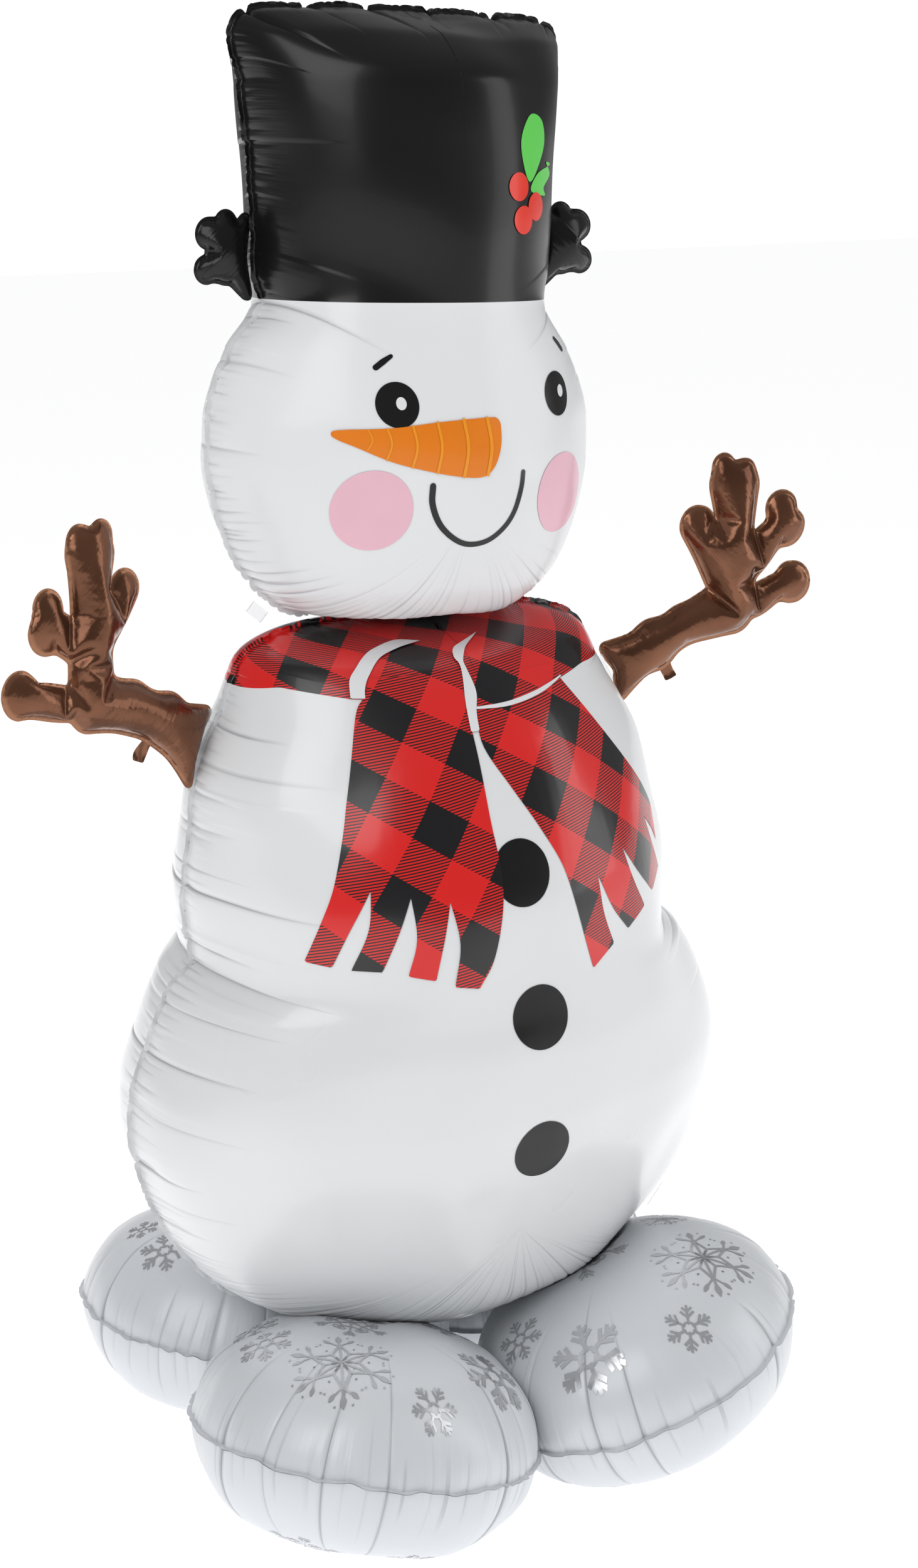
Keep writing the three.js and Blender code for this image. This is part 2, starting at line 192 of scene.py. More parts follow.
def new_piece(name, verts, faces, material, body, *, replaces=(), values=None, levels=0):
    """A smooth mesh that rides on a body. values are named numbers held at its points."""
    mesh = bpy.data.meshes.new(name)
    mesh.from_pydata(np.asarray(verts).tolist(), [], [list(map(int, f)) for f in faces])
    for key, value in (values or {}).items():
        value = np.asarray(value, np.float32)
        if value.ndim == 1:
            mesh.attributes.new(key, "FLOAT", "POINT").data.foreach_set("value", value)
        else:
            mesh.attributes.new(key, "FLOAT_VECTOR", "POINT").data.foreach_set("vector", value.ravel())
    mesh.polygons.foreach_set("use_smooth", [True] * len(mesh.polygons))
    mesh.materials.append(material)
    piece = bpy.data.objects.new(name, mesh)
    bpy.context.scene.collection.objects.link(piece)
    if levels:
        rounding = piece.modifiers.new("rounding", "SUBSURF")
        rounding.levels = rounding.render_levels = levels
    if body in ("head", "left_brim", "right_brim"):
        mesh.transform(HEAD_PLACE)
    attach(piece, body)
    if replaces:
        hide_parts(*replaces)
    return piece


HEAD_PLACE = (
    Matrix.Translation((0, 0, HEAD_TILT_HEIGHT))
    @ Matrix.Rotation(HEAD_TILT, 4, "Y")
    @ Matrix.Translation((0, 0, -HEAD_TILT_HEIGHT))
)


def moved(points, matrix):
    """Points taken through a 4x4 matrix."""
    m = np.array(matrix)
    return points @ m[:3, :3].T + m[:3, 3]


# ---------------------------------------------------------------- sealed sheets

class Chamber:
    """A filled chamber with an upright outline: half width and half depth for each height."""

    def __init__(self, rows, core):
        rows = np.array(rows, float)
        mirror = np.array([-1, -1, 1])
        whole = np.vstack([rows[1] * mirror, rows, rows[-2] * mirror])
        knots = lengths_along(whole[:, (0, 2)])
        at = np.linspace(knots[1], knots[-2], 900)
        dense = monotone(knots, whole, at)
        dense[0, :2] = dense[-1, :2] = 0
        self.wide, self.deep, self.high = dense.T
        self.core = np.array(core).T
        self.even = np.linspace(rows[0, 2], rows[-1, 2], 300)
        wide = np.interp(self.even, self.high, self.wide)
        weight = np.exp(-((self.even[:, None] - self.even[None]) / SOFT_MIDDLE) ** 2)
        inside = np.clip(np.minimum(self.even - self.even[0], self.even[-1] - self.even) / .14, 0, 1)
        self.soft = wide + (weight @ wide / weight.sum(1) - wide) * inside
        self.half_outline = dense[:, (0, 2)]
        self.meridian = lengths_along(dense[:, (1, 2)])

    def depth(self, x, z):
        wide = np.interp(z, self.high, self.wide)
        deep = np.interp(z, self.high, self.deep)
        edge = np.clip(np.abs(x) / np.maximum(wide, 1e-9), 0, 1) ** 3
        wide = between((np.maximum(np.interp(z, self.even, self.soft), wide * .9), wide), edge)
        return deep * np.sqrt(np.clip(1 - (x / np.maximum(wide, 1e-9)) ** 2, 0, 1))

    def feet(self, outline):
        """Where the creases that start on the outline would end: on the middle line."""
        return np.stack([outline[:, 0] * 0, np.interp(outline[:, 1], *self.core)], -1)

    def printed(self, x, z):
        """Place on the flat film: distance from the middle line, and up from the bottom."""
        wide = np.interp(z, self.high, self.wide)
        deep = np.interp(z, self.high, self.deep)
        lean = np.arcsin(np.clip(x / np.maximum(wide, 1e-9), -1, 1))
        across = (wide + deep) / 2 * lean + (wide - deep) / 4 * np.sin(2 * lean)
        return across, np.interp(z, self.high, self.meridian)

    def lowest(self, x, y):
        """Height of the chamber's underside above a point of the floor, or infinity beside it."""
        under = self.high < between((self.high[0], self.high[-1]), .25)
        inside = (
            (x[:, None] / np.maximum(self.wide[under], 1e-9)) ** 2
            + (y[:, None] / np.maximum(self.deep[under], 1e-9)) ** 2
        ) < 1
        return np.where(inside.any(1), self.high[under][inside.argmax(1)], np.inf)


class Disc:
    """A round pouch: the shape that two flat round sheets take when they are sealed and filled."""

    def __init__(self, radius):
        turn = np.linspace(0, math.pi / 2, 400)
        c = np.cos(turn)
        rise = radius * c * c / np.sqrt(1 + c * c)
        height = np.concatenate([[0], np.cumsum((rise[1:] + rise[:-1]) / 2 * np.diff(turn))])
        self.out, self.height = (radius * c)[::-1], height[::-1]
        self.along = lengths_along(np.stack([self.out, self.height], -1))
        half = np.linspace(0, math.pi, 400)
        self.half_outline = np.stack([radius * np.sin(half), -radius * np.cos(half)], -1)

    def depth(self, x, z):
        return np.interp(np.hypot(x, z), self.out, self.height)

    def feet(self, outline):
        return outline * 0

    def printed(self, x, z):
        return x, z

    def filled(self, flat):
        """Where points of the flat film lie, seen from above, once the pouch is filled."""
        away = np.linalg.norm(flat, axis=1)
        return flat * (np.interp(away, self.along, self.out) / np.maximum(away, 1e-9))[:, None]

    def flattened(self, x, y):
        """Where a point of the filled pouch lies on the flat film."""
        away = math.hypot(x, y)
        grow = np.interp(away, self.out, self.along) / max(away, 1e-9)
        return x * grow, y * grow


def normal_of(shape, x, z, side):
    """Outward normal of a smooth chamber's front or back."""
    small = 1e-4
    over_x = (shape.depth(x + small, z) - shape.depth(x - small, z)) / (2 * small)
    over_z = (shape.depth(x, z + small) - shape.depth(x, z - small)) / (2 * small)
    normal = np.stack([-over_x, np.full_like(x, side), -over_z], -1)
    return normal / np.linalg.norm(normal, axis=-1, keepdims=True)


def creases_along(half_length, spacing, depth, reach, rng):
    """Creases on one side of a chamber: place along the seam, depth, reach and width of each."""
    rows, at = [], 0.0
    while at < half_length:
        gap = spacing(at) * rng.uniform(.55, 1.45)
        at += gap
        rows.append((at, depth(at) * rng.uniform(.5, 1.3), reach(at) * rng.uniform(.35, 1.25), gap * .3))
    return np.array(rows[:-1])


def crease_columns(half_length, sides, step):
    """Places along the seam where the mesh has columns: evenly, and close together at each crease."""
    even = np.linspace(0, half_length, round(half_length / step) + 1)
    fine = np.concatenate([c[:, 0] + d for c in sides for d in (-.0030, -.0008, 0, .0008, .0030)])
    fine = np.sort(fine[(fine > .002) & (fine < half_length - .002)])
    fine = fine[np.concatenate([[True], np.diff(fine) > .0006])]
    far = np.abs(even[:, None] - fine[None]).min(1) > step * .3
    far[0] = far[-1] = True
    return np.sort(np.concatenate([even[far], fine]))


def dent(along, inward, creases):
    """How far the film stands in or out because of the creases, and how strong the painted shade line along
    each fold is there.
    """
    away = along[:, None] - creases[None, :, 0]
    depth, reach, width = creases[:, 1], creases[:, 2], creases[:, 3]
    result, folded = np.zeros(inward.shape), np.zeros(inward.shape)
    for k in range(len(creases)):
        near = np.abs(away[:, k]) < 6 * width[k]
        if depth[k] == 0 or not near.any():
            continue
        far = np.abs(away[near, k])
        fold = .45 * np.exp(-far / width[k]) + .6 * np.exp(-far / FOLD) - .2
        lap = .3 * np.sign(away[near, k]) * np.exp(-far / (.5 * width[k])) * (1 if k % 2 else -1)
        left = np.clip(1 - inward[near] / reach[k], 0, 1)
        result[near] -= depth[k] * (fold + lap)[:, None] * left ** 1.3
        # Painted shade: a thin dark line along the bottom of a deep crease, for the colour, not the shape.
        hard = min(1, depth[k] / HARD_FOLD) * np.exp(-far / FOLD_LINE)
        folded[near] = np.maximum(folded[near], hard[:, None] * np.clip(2 * left, 0, 1))
    return result, folded


def wobble(points, waves):
    """Slow unevenness of the film."""
    return sum(a * np.sin(points @ k + p) for a, k, p in waves)


def random_waves(rng, count, height, wavelength):
    """Plane waves in random directions for wobble()."""
    waves = []
    for _ in range(count):
        k = rng.normal(size=3)
        k *= TURN / (np.linalg.norm(k) * rng.uniform(.6, 1.6) * wavelength)
        waves.append((height * rng.uniform(.4, 1), k, rng.uniform(0, TURN)))
    return waves


def sealed_sheets(shape, sides, rng, *, step=.004, rows=40, wander=.006, height=.0008, wavelength=.12):
    """The front and back sheets of a chamber, each a grid of columns that run in from the seam.

    sides holds the creases of the right side and of the left side. Each sheet is a dict of its grid
    of points, the place along the seam, the distance in from it, and the strength of the painted
    shade in its folds and along its seam.
    """
    half_length = lengths_along(shape.half_outline)[-1]
    columns = crease_columns(half_length, sides, step)
    along_half = lengths_along(shape.half_outline)
    right = np.stack([np.interp(columns, along_half, shape.half_outline[:, k]) for k in (0, 1)], -1)
    left = right[-2:0:-1] * [-1, 1]
    outline = np.vstack([right, left])
    along = np.concatenate([columns, 2 * half_length - columns[-2:0:-1]])
    feet = shape.feet(outline)
    tangent = np.roll(outline, -1, 0) - np.roll(outline, 1, 0)
    tangent /= np.linalg.norm(tangent, axis=1)[:, None]
    outward = np.stack([tangent[:, 1], 0 * tangent[:, 0], -tangent[:, 0]], -1)
    sway = wander * np.sin(columns / .043 + rng.uniform(0, TURN)) * np.sin(columns / .11)
    sway = np.concatenate([sway, -sway[-2:0:-1]])
    creases = np.vstack([sides[0], sides[1] * [-1, 1, 1, 1] + [2 * half_length, 0, 0, 0]])
    waves = random_waves(rng, 9, height, wavelength)
    ripple = random_waves(rng, 6, .0007, .02)
    drift = random_waves(rng, 5, .0008, .07)

    fine = np.linspace(0, 1, 260)
    share = np.linspace(0, 1, rows) ** 1.6
    sheets = []
    for side in (-1, 1):
        u = 1 - np.cos(fine * math.pi / 2)
        flat = outline[:, None] + (feet - outline)[:, None] * u[None, :, None]
        flat = flat + tangent[:, None] * (sway[:, None] * np.sin(fine * math.pi)[None])[..., None]
        y = side * shape.depth(flat[..., 0], flat[..., 1])
        grid = np.stack([flat[..., 0], y, flat[..., 1]], -1)
        run = np.concatenate([
            np.zeros((len(grid), 1)),
            np.cumsum(np.linalg.norm(np.diff(grid, axis=1), axis=2), axis=1),
        ], axis=1)
        inward = run[:, -1:] * share
        even = np.empty((len(grid), rows, 3))
        for c in range(len(grid)):
            at = np.interp(inward[c], run[c], fine)
            for k in range(3):
                even[c, :, k] = np.interp(at, fine, grid[c, :, k])
        across = np.roll(even, -1, 0) - np.roll(even, 1, 0)
        down = np.gradient(even, axis=1)
        normal = np.cross(across, down)
        size = np.linalg.norm(normal, axis=2, keepdims=True)
        normal = np.where(size > 1e-9, normal / np.maximum(size, 1e-9), [0, side, 0])
        facing = np.sign((normal[..., 1] * side).mean())
        normal *= facing
        inner = rows // 2
        normal[:, inner:] = normal_of(shape, even[:, inner:, 0], even[:, inner:, 2], side)
        normal[:, 0] = outward
        spared = np.clip(inward / .03, 0, 1)
        shift, folded = dent(along, inward, creases)
        shift = shift + wobble(even, waves) * spared
        film = even + normal * shift[..., None]
        seam = film[:, :1] + outward[:, None] * (FLANGE * np.array([1, .5]))[None, :, None]
        flutter = wobble(seam, ripple) * np.array([1, .6]) + side * .0002
        seam[..., 1] = flutter
        grid = np.concatenate([seam, film], axis=1)
        # Painted shade: a faint dashed grey line along the seam, added to the painted shade lines of the
        # folds from dent().
        weld = np.concatenate([np.repeat([[0, .12]], len(grid), 0), folded], axis=1)
        weld[:, 2] = np.maximum(weld[:, 2], .08 + .2 * np.clip(np.sin(along / .009), 0, 1))
        sway_out = wobble(np.repeat(film[:, :1], grid.shape[1], 1), drift)
        grid[..., 1] += sway_out * np.exp(-np.maximum(np.concatenate(
            [np.zeros((len(grid), 2)), inward], axis=1), 0) / .03)
        inward = np.concatenate([np.repeat([[-FLANGE, -FLANGE / 2]], len(grid), 0), inward], axis=1)
        sheets.append({
            "grid": grid, "inward": inward, "side": side, "folded": weld,
            "along": np.repeat(along[:, None], grid.shape[1], 1),
            "flat": np.concatenate([even[:, :1, (0, 2)]] * 2 + [even[..., (0, 2)]], axis=1),
        })
    return sheets


def sheet_piece(name, sheet, material, body, *, shape, extra=None, place=None):
    """Turns one sheet's grid into a piece that stands for the CAD node of the same name."""
    grid = sheet["grid"]
    columns, rows = grid.shape[:2]
    ids = np.arange(columns * rows).reshape(columns, rows)
    a, b = ids[:, :-1], np.roll(ids, -1, 0)[:, :-1]
    c, d = np.roll(ids, -1, 0)[:, 1:], ids[:, 1:]
    quads = np.stack([a, b, c, d], -1).reshape(-1, 4)
    if sheet["side"] > 0:
        quads = quads[:, ::-1]
    verts = grid.reshape(-1, 3)
    flat = sheet["flat"].reshape(-1, 2)
    across, up = shape.printed(flat[:, 0], flat[:, 1])
    if place is not None:
        verts = place(verts)
    values = {
        "seam": np.stack([sheet["along"].ravel(), sheet["inward"].ravel(), 0 * across], -1),
        "print": np.stack([across, up, 0 * across + sheet["side"]], -1),
        # strength of the painted shade in the folds and along the seam
        "folded": sheet["folded"].ravel(),
    }
    for key, value in (extra or {}).items():
        values[key] = value(flat[:, 0], flat[:, 1])
    piece = new_piece(name, verts, quads, material, body, replaces=[name], values=values)
    merge_last_row(piece, ids[:, -1])
    return piece


def merge_last_row(piece, ids):
    """Joins the points where the columns of a sheet meet."""
    bm = bmesh.new()
    bm.from_mesh(piece.data)
    bm.verts.ensure_lookup_table()
    bmesh.ops.remove_doubles(bm, verts=[bm.verts[int(i)] for i in ids], dist=2e-5)
    bm.to_mesh(piece.data)
    bm.free()
    piece.data.polygons.foreach_set("use_smooth", [True] * len(piece.data.polygons))


# ---------------------------------------------------------------- blown-up patterns

class Outline:
    """Flat outline that some limbs make together, cut off straight at its root."""

    SOFT = .002              # how far two limbs melt into each other

    def __init__(self, limbs, root):
        self.limbs = [(np.array(a), np.array(b), wide_a, wide_b) for a, b, wide_a, wide_b in limbs]
        start, end = np.array(root)
        self.root = start
        self.out = np.array([end[1] - start[1], start[0] - end[0]]) / np.linalg.norm(end - start)

    def distance(self, points):
        """Signed distance, negative inside."""
        total = 0
        for start, end, wide_start, wide_end in self.limbs:
            axis = end - start
            t = np.clip((points - start) @ axis / (axis @ axis), 0, 1)
            away = np.linalg.norm(points - start - t[:, None] * axis, axis=1)
            total = total + np.exp(-(away - between((wide_start, wide_end), t)) / self.SOFT)
        return np.maximum(-self.SOFT * np.log(total), (points - self.root) @ self.out)

    def spots(self):
        return np.array([p for limb in self.limbs for p in limb[:2]])


def flat_pattern(outline, step):
    """Points and triangles that fill a flat outline."""
    spots = outline.spots()
    low, high = spots.min(0) - .08, spots.max(0) + .08
    rows = np.arange(low[1], high[1], step * math.sqrt(3) / 2)
    grid = np.array([
        (x + (i % 2) * step / 2, z) for i, z in enumerate(rows) for x in np.arange(low[0], high[0], step)
    ])
    away = outline.distance(grid)
    edge = grid[np.abs(away) < step]
    for _ in range(5):
        d = outline.distance(edge)
        slope = np.stack([
            (outline.distance(edge + shift) - d) / 1e-5 for shift in ((1e-5, 0), (0, 1e-5))
        ], -1)
        edge = edge - slope * (d / np.maximum((slope ** 2).sum(1), .1))[:, None]
    kept = []
    for p in edge:
        if all((p[0] - q[0]) ** 2 + (p[1] - q[1]) ** 2 > (.72 * step) ** 2 for q in kept):
            kept.append(p)
    points = np.vstack([kept, grid[away < -.62 * step]])
    made = delaunay_2d_cdt([Vector(p) for p in points], [], [], 0, 1e-7)
    points = np.array([tuple(v) for v in made[0]])
    tris = np.array([f for f in made[2] if len(f) == 3])
    tris = tris[outline.distance(points[tris].mean(1)) < -.0004]
    corner = points[tris]
    one, two = corner[:, 1] - corner[:, 0], corner[:, 2] - corner[:, 0]
    area = one[:, 0] * two[:, 1] - one[:, 1] * two[:, 0]
    tris = np.where((area < 0)[:, None], tris[:, ::-1], tris)[np.abs(area) > 1e-10]
    used, tris = np.unique(tris, return_inverse=True)
    return points[used], tris.reshape(-1, 3)


def rim_of(tris):
    """The loop of points round the outside of a triangle mesh, in order."""
    edges = {(int(t[k]), int(t[(k + 1) % 3])) for t in tris for k in range(3)}
    follow = {a: b for a, b in edges if (b, a) not in edges}
    start = min(follow)
    loop = [start]
    while follow[loop[-1]] != start:
        loop.append(follow[loop[-1]])
    return np.array(loop)


def edges_and_bends(tris):
    """Each edge once, and for each inner edge the two corners across it."""
    edges = np.vstack([tris[:, (0, 1)], tris[:, (1, 2)], tris[:, (2, 0)]])
    across = np.concatenate([tris[:, 2], tris[:, 0], tris[:, 1]])
    edges.sort(axis=1)
    order = np.lexsort((edges[:, 1], edges[:, 0]))
    edges, across = edges[order], across[order]
    first = np.concatenate([[True], (np.diff(edges, axis=0) != 0).any(1)])
    starts = np.where(first)[0]
    pairs = starts[np.diff(np.append(starts, len(edges))) == 2]
    return edges[starts], np.stack([across[pairs], across[pairs + 1]], -1)


def independent_groups(links, count):
    """Splits links into groups in which no point is in two links."""
    used = [0] * count
    group = np.empty(len(links), int)
    for k, (i, j) in enumerate(links.tolist()):
        free = ~(used[i] | used[j])
        lowest = free & -free
        used[i] |= lowest
        used[j] |= lowest
        group[k] = lowest.bit_length() - 1
    return [np.where(group == g)[0] for g in range(group.max() + 1)]


def pull(points, group, share, soft):
    """Moves both ends of each link towards its flat length. soft is how much it resists a push."""
    i, j, length = group
    d = points[j] - points[i]
    now = np.sqrt((d * d).sum(1, keepdims=True)) + 1e-12
    change = (now - length) / now * .5 * share
    change = np.where(change < 0, change * soft, change) * d
    points[i] += change
    points[j] -= change


def blow_up(outline, step, rng, *, steps=320, pressure=2.5, soft=.4, bend=.1):
    """Two flat sheets of that outline, sealed round the edge and filled with air."""
    flat, front = flat_pattern(outline, step)
    rim = rim_of(front)
    count = len(flat)
    inner = np.setdiff1d(np.arange(count), rim)
    twin = np.arange(count)
    twin[inner] = count + np.arange(len(inner))
    back = twin[front][:, ::-1]
    edge = flat[rim]
    tangent = np.roll(edge, -1, 0) - np.roll(edge, 1, 0)
    outward = np.stack([tangent[:, 1], -tangent[:, 0]], -1)
    outward /= np.linalg.norm(outward, axis=1)[:, None]
    lip = count + len(inner) + np.arange(len(rim))
    whole = np.vstack([flat, flat[inner], edge + outward * LIMB_FLANGE])
    after = np.roll(np.arange(len(rim)), -1)
    strip = np.vstack([
        np.stack([rim, lip, lip[after]], -1), np.stack([rim, lip[after], rim[after]], -1),
    ])
    layer = np.zeros(len(whole))
    layer[inner] = -1
    layer[twin[inner]] = 1
    filled = np.vstack([front, back])
    links, bends = edges_and_bends(np.vstack([filled, strip]))
    bends = bends[layer[bends[:, 0]] * layer[bends[:, 1]] >= 0]
    groups = []
    for pairs, share in ((links, 1), (bends, bend)):
        rest = np.linalg.norm(whole[pairs[:, 0]] - whole[pairs[:, 1]], axis=1)[:, None]
        pairs, rest = pairs[rest[:, 0] > 1e-6], rest[rest[:, 0] > 1e-6]
        for g in independent_groups(pairs, len(whole)):
            groups.append(((pairs[g, 0], pairs[g, 1], rest[g]), share))
    dome = np.maximum(-outline.distance(whole), 0) * .5
    points = np.stack([whole[:, 0], layer * dome, whole[:, 1]], -1)
    points += rng.normal(0, step * .03, points.shape)
    speed = np.zeros_like(points)
    sealed = np.concatenate([rim, lip])
    tick = 1 / 60
    for _ in range(steps):
        a, b, c = points[filled[:, 0]], points[filled[:, 1]], points[filled[:, 2]]
        push = np.cross(b - a, c - a) / 6
        force = np.stack([
            sum(np.bincount(filled[:, q], push[:, k], len(points)) for q in range(3)) for k in range(3)
        ], -1)
        speed = (speed + tick * force * pressure / .028 ** 2) * .98
        new = points + tick * speed
        for _ in range(2):
            for group, share in groups:
                pull(new, group, share, soft if share == 1 else 1)
        new[sealed, 1] *= .95
        speed = (new - points) / tick
        points = new
    return points, np.vstack([front, strip]), back, dome * 2


def fitted(points, low, high):
    """Points scaled and moved so that they fill a box."""
    now_low, now_high = points.min(0), points.max(0)
    return low + (points - now_low) / (now_high - now_low) * (high - low)


# ---------------------------------------------------------------- prints

def plan_of_front(depth_side=-1):
    """Frame of a print on the front: x, up, and out of the film."""
    return Matrix(((1, 0, 0, 0), (0, 0, depth_side, 0), (0, 1, 0, 0), (0, 0, 0, 1)))


class Film:
    """A finished sheet that prints are laid on."""

    def __init__(self, piece, plan):
        mesh = piece.data
        verts = [v.co.copy() for v in mesh.vertices]
        self.tree = BVHTree.FromPolygons(verts, [tuple(p.vertices) for p in mesh.polygons])
        self.plan = plan

    def lay(self, points, lift):
        """Points of the flat print, put down on the film. Points that miss it come back as None."""
        way = (self.plan.to_3x3() @ Vector((0, 0, -1))).normalized()
        laid = []
        for x, y in points:
            hit, normal, _, _ = self.tree.ray_cast(self.plan @ Vector((x, y, 1)), way, 1.6)
            if hit is None:
                laid.append(None)
                continue
            if normal.dot(way) > 0:
                normal = -normal
            laid.append(hit + normal * lift)
        return laid


def inside_of(loop, points):
    """Which points lie inside a closed loop."""
    x, y = points[:, 0], points[:, 1]
    found = np.zeros(len(points), bool)
    for (ax, ay), (bx, by) in zip(loop, np.roll(loop, -1, 0)):
        if ay != by:
            found ^= ((ay > y) != (by > y)) & (x < (bx - ax) * (y - ay) / (by - ay) + ax)
    return found


def patch(loop, step):
    """Triangles that fill a closed outline, with points a step apart."""
    loop = respaced(loop, step * .7) if step else np.asarray(loop)
    low, high = loop.min(0), loop.max(0)
    grid = np.array([
        (x + (i % 2) * step / 2, y)
        for i, y in enumerate(np.arange(low[1], high[1], step * .87))
        for x in np.arange(low[0], high[0], step)
    ])
    grid = grid[inside_of(loop, grid)]
    near = np.linalg.norm(grid[:, None] - loop[None], axis=2).min(1) if len(grid) else np.zeros(0)
    points = np.vstack([loop, grid[near > step * .45]])
    ring = list(range(len(loop)))
    made = delaunay_2d_cdt([Vector(p) for p in points], [], [ring], 1, 1e-7)
    return np.array([tuple(v) for v in made[0]]), [tuple(f) for f in made[2]]


def lay_print(name, film, loops, material, body, *, lift=LIFT, step=.004, shape=None):
    """One piece of flat print made of closed outlines, laid on a film."""
    verts, faces, flats = [], [], []
    for loop in loops:
        flat, tris = patch(np.asarray(loop, float), step)
        laid = film.lay(flat, lift)
        start = len(verts)
        verts += [v if v is not None else Vector((0, 0, 0)) for v in laid]
        flats += list(flat)
        faces += [
            tuple(start + i for i in t) for t in tris if all(laid[i] is not None for i in t)
        ]
    used, faces = np.unique(np.array(faces), return_inverse=True)
    verts, flats = np.array(verts)[used], np.array(flats)[used]
    values = None
    if shape:
        across, up = shape.printed(flats[:, 0], flats[:, 1])
        values = {"print": np.stack([across, up, 0 * across - 1], -1)}
    if body == "head":
        verts = moved(verts, HEAD_PLACE.inverted())      # new_piece puts the head's tilt on again
    return new_piece(name, verts, faces.reshape(-1, 3), material, body, values=values)


def ellipse(centre, wide, high, lean=0, count=40):
    """Closed outline of an ellipse: centre, half width, half height and lean in degrees."""
    t = np.arange(count) / count * TURN
    c, s = math.cos(math.radians(lean)), math.sin(math.radians(lean))
    x, y = wide * np.cos(t), high * np.sin(t)
    return np.stack([centre[0] + x * c - y * s, centre[1] + x * s + y * c], -1)


def stroke(points, widths):
    """Closed outline of a stroke with round ends along a smooth line."""
    line = respaced(catmull(points, closed=False), .002, closed=False)
    wide = np.interp(np.linspace(0, 1, len(line)), np.linspace(0, 1, len(widths)), widths) / 2
    way = np.gradient(line, axis=0)
    way /= np.linalg.norm(way, axis=1)[:, None]
    left = np.stack([-way[:, 1], way[:, 0]], -1)
    caps = []
    for end, sign in ((-1, 1), (0, -1)):
        t = np.linspace(0, math.pi, 9)[1:-1, None]
        caps.append(line[end] + wide[end] * (left[end] * sign * np.cos(t) + way[end] * sign * np.sin(t)))
    return np.vstack([line + left * wide[:, None], caps[0], (line - left * wide[:, None])[::-1], caps[1]])


# ---------------------------------------------------------------- materials

def new_material(name, **finish):
    """A principled material. Returns it with its nodes, its links and its shader."""
    material = bpy.data.materials.new(name)
    material.use_nodes = True
    nodes = material.node_tree.nodes
    shader = nodes["Principled BSDF"]
    for key, value in finish.items():
        shader.inputs[key.replace("_", " ")].default_value = value
    return material, nodes, material.node_tree.links, shader


def add_node(nodes, kind, inputs=None, **settings):
    """A shader node with its settings and the constants on its sockets."""
    node = nodes.new("ShaderNode" + kind)
    for key, value in settings.items():
        setattr(node, key, value)
    for key, value in (inputs or {}).items():
        node.inputs[key].default_value = value
    return node


def object_texture(nodes, links, kind, scale, **settings):
    """A procedural texture in the piece's own space."""
    where = add_node(nodes, "TexCoord")
    texture = add_node(nodes, kind, {"Scale": scale}, **settings)
    links.new(where.outputs["Object"], texture.inputs["Vector"])
    return texture


def film_bump(nodes, links, shader, *, crumple, ripples=.35, crumple_scale=26):
    """Fine gathers that run in from the seam, and a faint crumple all over."""
    place = add_node(nodes, "Attribute", attribute_name="seam")
    split = add_node(nodes, "SeparateXYZ")
    links.new(place.outputs["Vector"], split.inputs[0])
    stretched = add_node(nodes, "VectorMath", operation="MULTIPLY")
    stretched.inputs[1].default_value = GATHER_SCALE
    links.new(place.outputs["Vector"], stretched.inputs[0])
    gathers = add_node(nodes, "TexNoise", {"Scale": 1, "Detail": 2})
    links.new(stretched.outputs[0], gathers.inputs["Vector"])
    fading = {"From Min": 0, "From Max": .075, "To Min": ripples, "To Max": 0}
    fade = add_node(nodes, "MapRange", fading, interpolation_type="SMOOTHERSTEP")
    links.new(split.outputs["Y"], fade.inputs["Value"])
    fine = add_node(nodes, "Bump", {"Distance": .0016})
    links.new(gathers.outputs["Fac"], fine.inputs["Height"])
    links.new(fade.outputs[0], fine.inputs["Strength"])
    slow = object_texture(nodes, links, "TexNoise", crumple_scale)
    slow.inputs["Detail"].default_value = 2
    broad = add_node(nodes, "Bump", {"Strength": crumple, "Distance": .003})
    links.new(slow.outputs["Fac"], broad.inputs["Height"])
    links.new(fine.outputs[0], broad.inputs["Normal"])
    links.new(broad.outputs[0], shader.inputs["Normal"])


def varied_roughness(nodes, links, shader, low, high, scale=9):
    """Faint cloudiness in the gloss."""
    cloud = object_texture(nodes, links, "TexNoise", scale)
    spread = add_node(nodes, "MapRange", {"To Min": low, "To Max": high})
    links.new(cloud.outputs["Fac"], spread.inputs["Value"])
    links.new(spread.outputs[0], shader.inputs["Roughness"])


FILM_WHITE = (.73, .74, .75, 1)
FILM_BLACK = (.0075, .0070, .0075, 1)
# Colour of the painted shade in the folds and along the seams.
FOLD_SHADE_GREY = (.24, .25, .27, 1)


def painted_fold_shade(nodes, links, colour):
    """A film's colour, with painted shade: thin grey lines in its folds and along its seam."""
    place = add_node(nodes, "Attribute", attribute_name="folded")
    share = add_node(nodes, "Math", operation="MULTIPLY")
    share.inputs[1].default_value = .65
    links.new(place.outputs["Fac"], share.inputs[0])
    mix = add_node(nodes, "Mix", {"A": colour, "B": FOLD_SHADE_GREY}, data_type="RGBA")
    links.new(share.outputs[0], mix.inputs["Factor"])
    return mix.outputs["Result"]


def printed_edge(nodes, links, attribute):
    """0 below a printed edge and 1 above it, where an attribute crosses zero."""
    place = add_node(nodes, "Attribute", attribute_name=attribute)
    edge = add_node(nodes, "MapRange", {"From Min": -PRINT_BLUR, "From Max": PRINT_BLUR})
    links.new(place.outputs["Fac"], edge.inputs["Value"])
    return edge.outputs[0]


def white_film():
    material, nodes, links, shader = new_material(
        "white_film", Base_Color=FILM_WHITE, Coat_Weight=.35, Coat_Roughness=.08,
    )
    varied_roughness(nodes, links, shader, .24, .34)
    film_bump(nodes, links, shader, crumple=.06)
    return material


